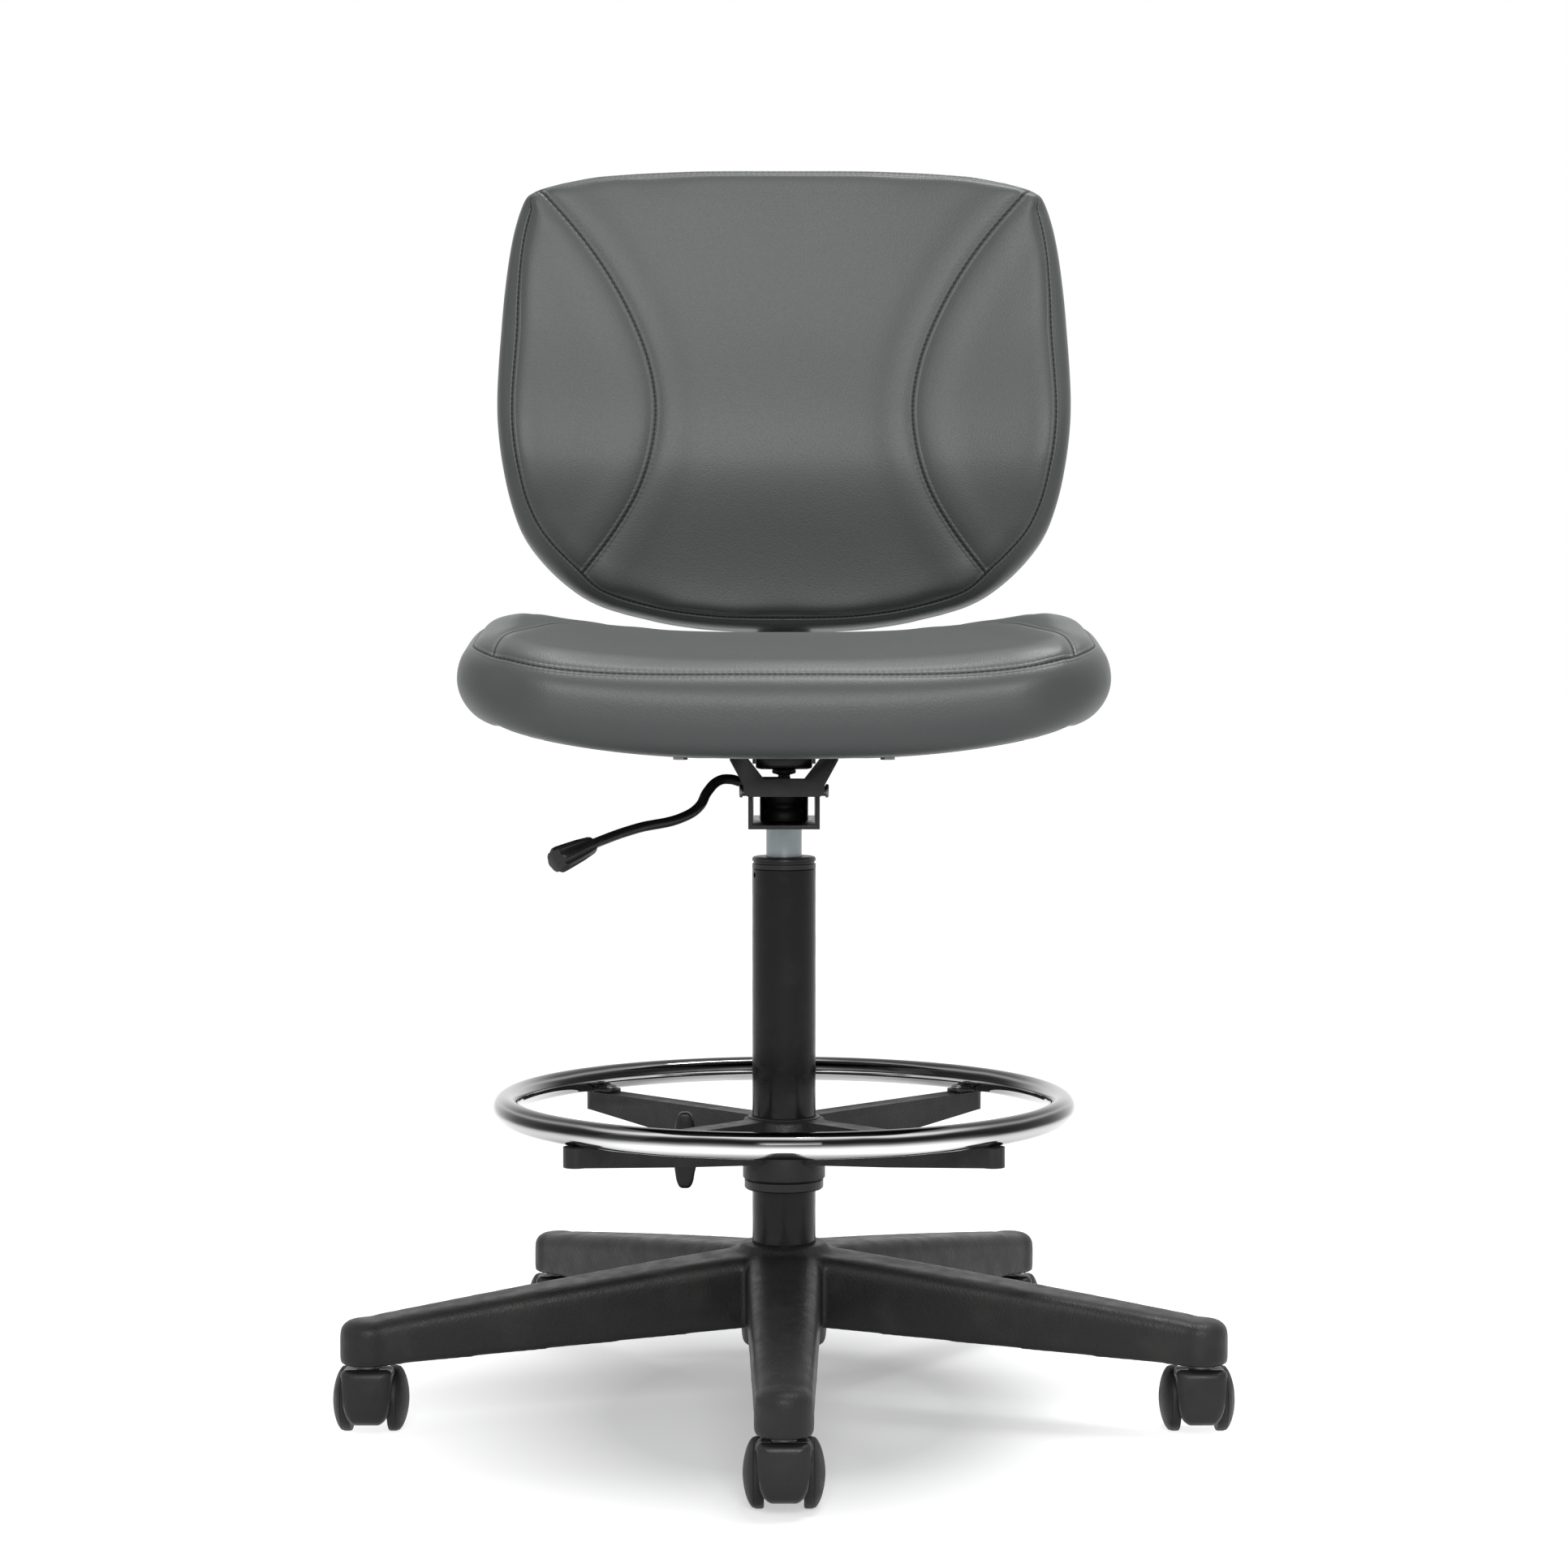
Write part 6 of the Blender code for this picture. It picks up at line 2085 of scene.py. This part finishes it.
        def held(points: np.ndarray) -> np.ndarray:
            """1 where the rear cover lies on the board, 0 elsewhere."""
            x, up, out = self.local(points)
            inside = inward(self.outline(), x, up)[0] > 0.016
            return np.where(inside & (out < self.rear(x, up) + 0.012), 1.0, 0.0)

        work.swell(piece, self.form, held)
        x, up, out = self.local(points_of(piece))
        depth, _, way_up, run = inward(self.outline(), x, up)
        fall = self.front(x, up) - out
        foot = ease((-0.145 - up) / 0.035)
        setback = -0.0155 + 0.0070 * ease((up - 0.03) / 0.12)
        setback += 0.0095 * self.on_top(way_up)
        setback += 0.0105 * foot
        behind = out - self.rear(x, up)
        rim = np.maximum(depth - fall + setback, depth - behind - 0.003) / 1.2
        panel = np.where(behind > fall, off_seam(self.waist, x, up), 0.1)
        work.stitch(piece, rim, run, panel, up * 1.15)
        work.cover(piece, "back_cushion_cover", "back_cushion", "back_board")

    def build(self) -> None:
        """Builds the back."""
        self.cushion()
        CadDress.refine("back_upright", "seat", COAT, 0.0012, 3)
        CadDress.refine("upright_bolt", "seat", ZINC, 0.0004)
        for i in (1, 2):
            CadDress.refine(f"back_bolt_{i}", "seat", ZINC, 0.0004)


# ---------------------------------------------------------------- studio


@dataclass
class Studio:
    """Floor, light and camera."""

    camera_y: float = COLUMN_Y - 2.65
    camera_z: float = 0.612
    lens: float = 77.50
    pitch: float = math.radians(2.577)
    white: tuple[float, float, float, float] = (1.0, 1.0, 1.0, 1.0)
    surround_light: float = 0.27

    def camera(self) -> None:
        """Sets the camera in front of the chair, looking slightly down."""
        data = bpy.data.cameras.new("studio_camera")
        data.lens = self.lens
        data.sensor_width = 36.0
        eye = bpy.data.objects.new("studio_camera", data)
        eye.location = (0.0, self.camera_y, self.camera_z)
        eye.rotation_euler = (math.pi / 2 - self.pitch, 0.0, 0.0)
        bpy.context.collection.objects.link(eye)
        bpy.context.scene.camera = eye

    @staticmethod
    def lamp(name: str, at: Point, aim: Point, size: tuple[float, float], power: float) -> None:
        """Hangs a soft box.

        Args:
            name: the lamp's name.
            at: where it hangs.
            aim: what it points at.
            size: its width and height.
            power: its watts.
        """
        data = bpy.data.lights.new(name, "AREA")
        data.shape = "RECTANGLE"
        data.size, data.size_y = size
        data.energy = power
        box = bpy.data.objects.new(name, data)
        box.location = at
        way = Vector(aim) - Vector(at)
        box.rotation_euler = way.to_track_quat("-Z", "Y").to_euler()
        bpy.context.collection.objects.link(box)

    @staticmethod
    def seen(work: Nodes) -> bpy.types.NodeSocket:
        """A switch that is 1 for rays from the eye and through or off shiny pieces."""
        path = work.node("ShaderNodeLightPath")
        total = path.outputs["Is Camera Ray"]
        for name in ("Is Glossy Ray", "Is Transmission Ray"):
            total = work.maths("MAXIMUM", total, path.outputs[name])
        return total

    def surround(self) -> None:
        """The white surround, which lights the chair evenly."""
        world = bpy.data.worlds.new("studio_surround")
        world.use_nodes = True
        work = Nodes(world.node_tree)
        plain = work.wire("ShaderNodeBackground", self.white, self.surround_light)
        bright = work.wire("ShaderNodeBackground", self.white, 1.0)
        mix = work.wire("ShaderNodeMixShader", self.seen(work), plain, bright)
        work.feed(work.tree.nodes["World Output"].inputs[0], mix)
        work.tree.nodes.remove(work.tree.nodes["Background"])
        bpy.context.scene.world = world

    def floor(self) -> None:
        """The pale floor, which keeps the chair's shadow, with painted shade round the base."""
        Bench.clear()
        bpy.ops.mesh.primitive_plane_add(size=40.0, location=(0.0, 0.0, 0.0))
        floor = bpy.context.object
        floor.name = "studio_floor"
        material = bpy.data.materials.new("studio_floor")
        material.use_nodes = True
        work = Nodes(material.node_tree)
        work.tree.nodes.remove(work.tree.nodes["Principled BSDF"])
        matt = work.wire("ShaderNodeBsdfDiffuse", (0.56, 0.565, 0.575, 1.0))
        place = work.node("ShaderNodeTexCoord").outputs["Object"]
        # Painted shade: less glow near the chair darkens the floor round the base.
        narrowed = work.wire("ShaderNodeVectorMath", place, (1.5, 1.0, 1.0), operation="MULTIPLY")
        near = work.node("ShaderNodeVectorMath", operation="LENGTH")
        work.feed(near.inputs[0], narrowed)
        painted_shade_glow = work.wire("ShaderNodeMapRange", near.outputs["Value"], 0.20, 0.50, 0.34, 0.90)
        glow = work.wire("ShaderNodeEmission", self.white, painted_shade_glow)
        both = work.wire("ShaderNodeAddShader", matt, glow)
        mix = work.wire("ShaderNodeMixShader", self.seen(work), matt, both)
        work.feed(work.tree.nodes["Material Output"].inputs[0], mix)
        floor.data.materials.append(material)

    def build(self) -> None:
        """Sets up the studio."""
        self.camera()
        self.surround()
        self.floor()
        self.lamp("key_box", (0.15, -3.1, 1.75), (0.0, 0.0, 0.70), (1.3, 1.1), 60.0)
        self.lamp("fill_box", (-2.6, -1.2, 1.5), (0.0, 0.0, 0.6), (1.0, 1.6), 6.0)
        self.lamp("top_box", (0.50, 0.12, 2.6), (0.0, 0.0, 0.2), (1.0, 1.0), 44.0)
        bpy.context.scene.view_settings.view_transform = "Standard"


# ---------------------------------------------------------------- assembly


def main() -> None:
    """Builds the chair piece by piece, and the studio round it."""
    logging.basicConfig(level=logging.INFO, format="%(message)s", force=True)
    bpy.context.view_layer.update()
    base = FiveLegBase()
    places = [(base.reach * math.cos(a), base.reach * math.sin(a)) for a in base.angles()]
    steps: tuple[tuple[str, Callable[[], None]], ...] = (
        ("five-leg base", base.build),
        ("casters", lambda: TwinCaster().build(places)),
        ("gas column", GasColumn().build),
        ("foot ring", FootRing().build),
        ("tilt mechanism", TiltMechanism().build),
        ("seat", Seat().build),
        ("back", Back().build),
        ("studio", Studio().build),
    )
    for name, step in steps:
        step()
        LOG.info("built %s", name)
    Bench.clear()


if __name__ == "__main__":
    main()
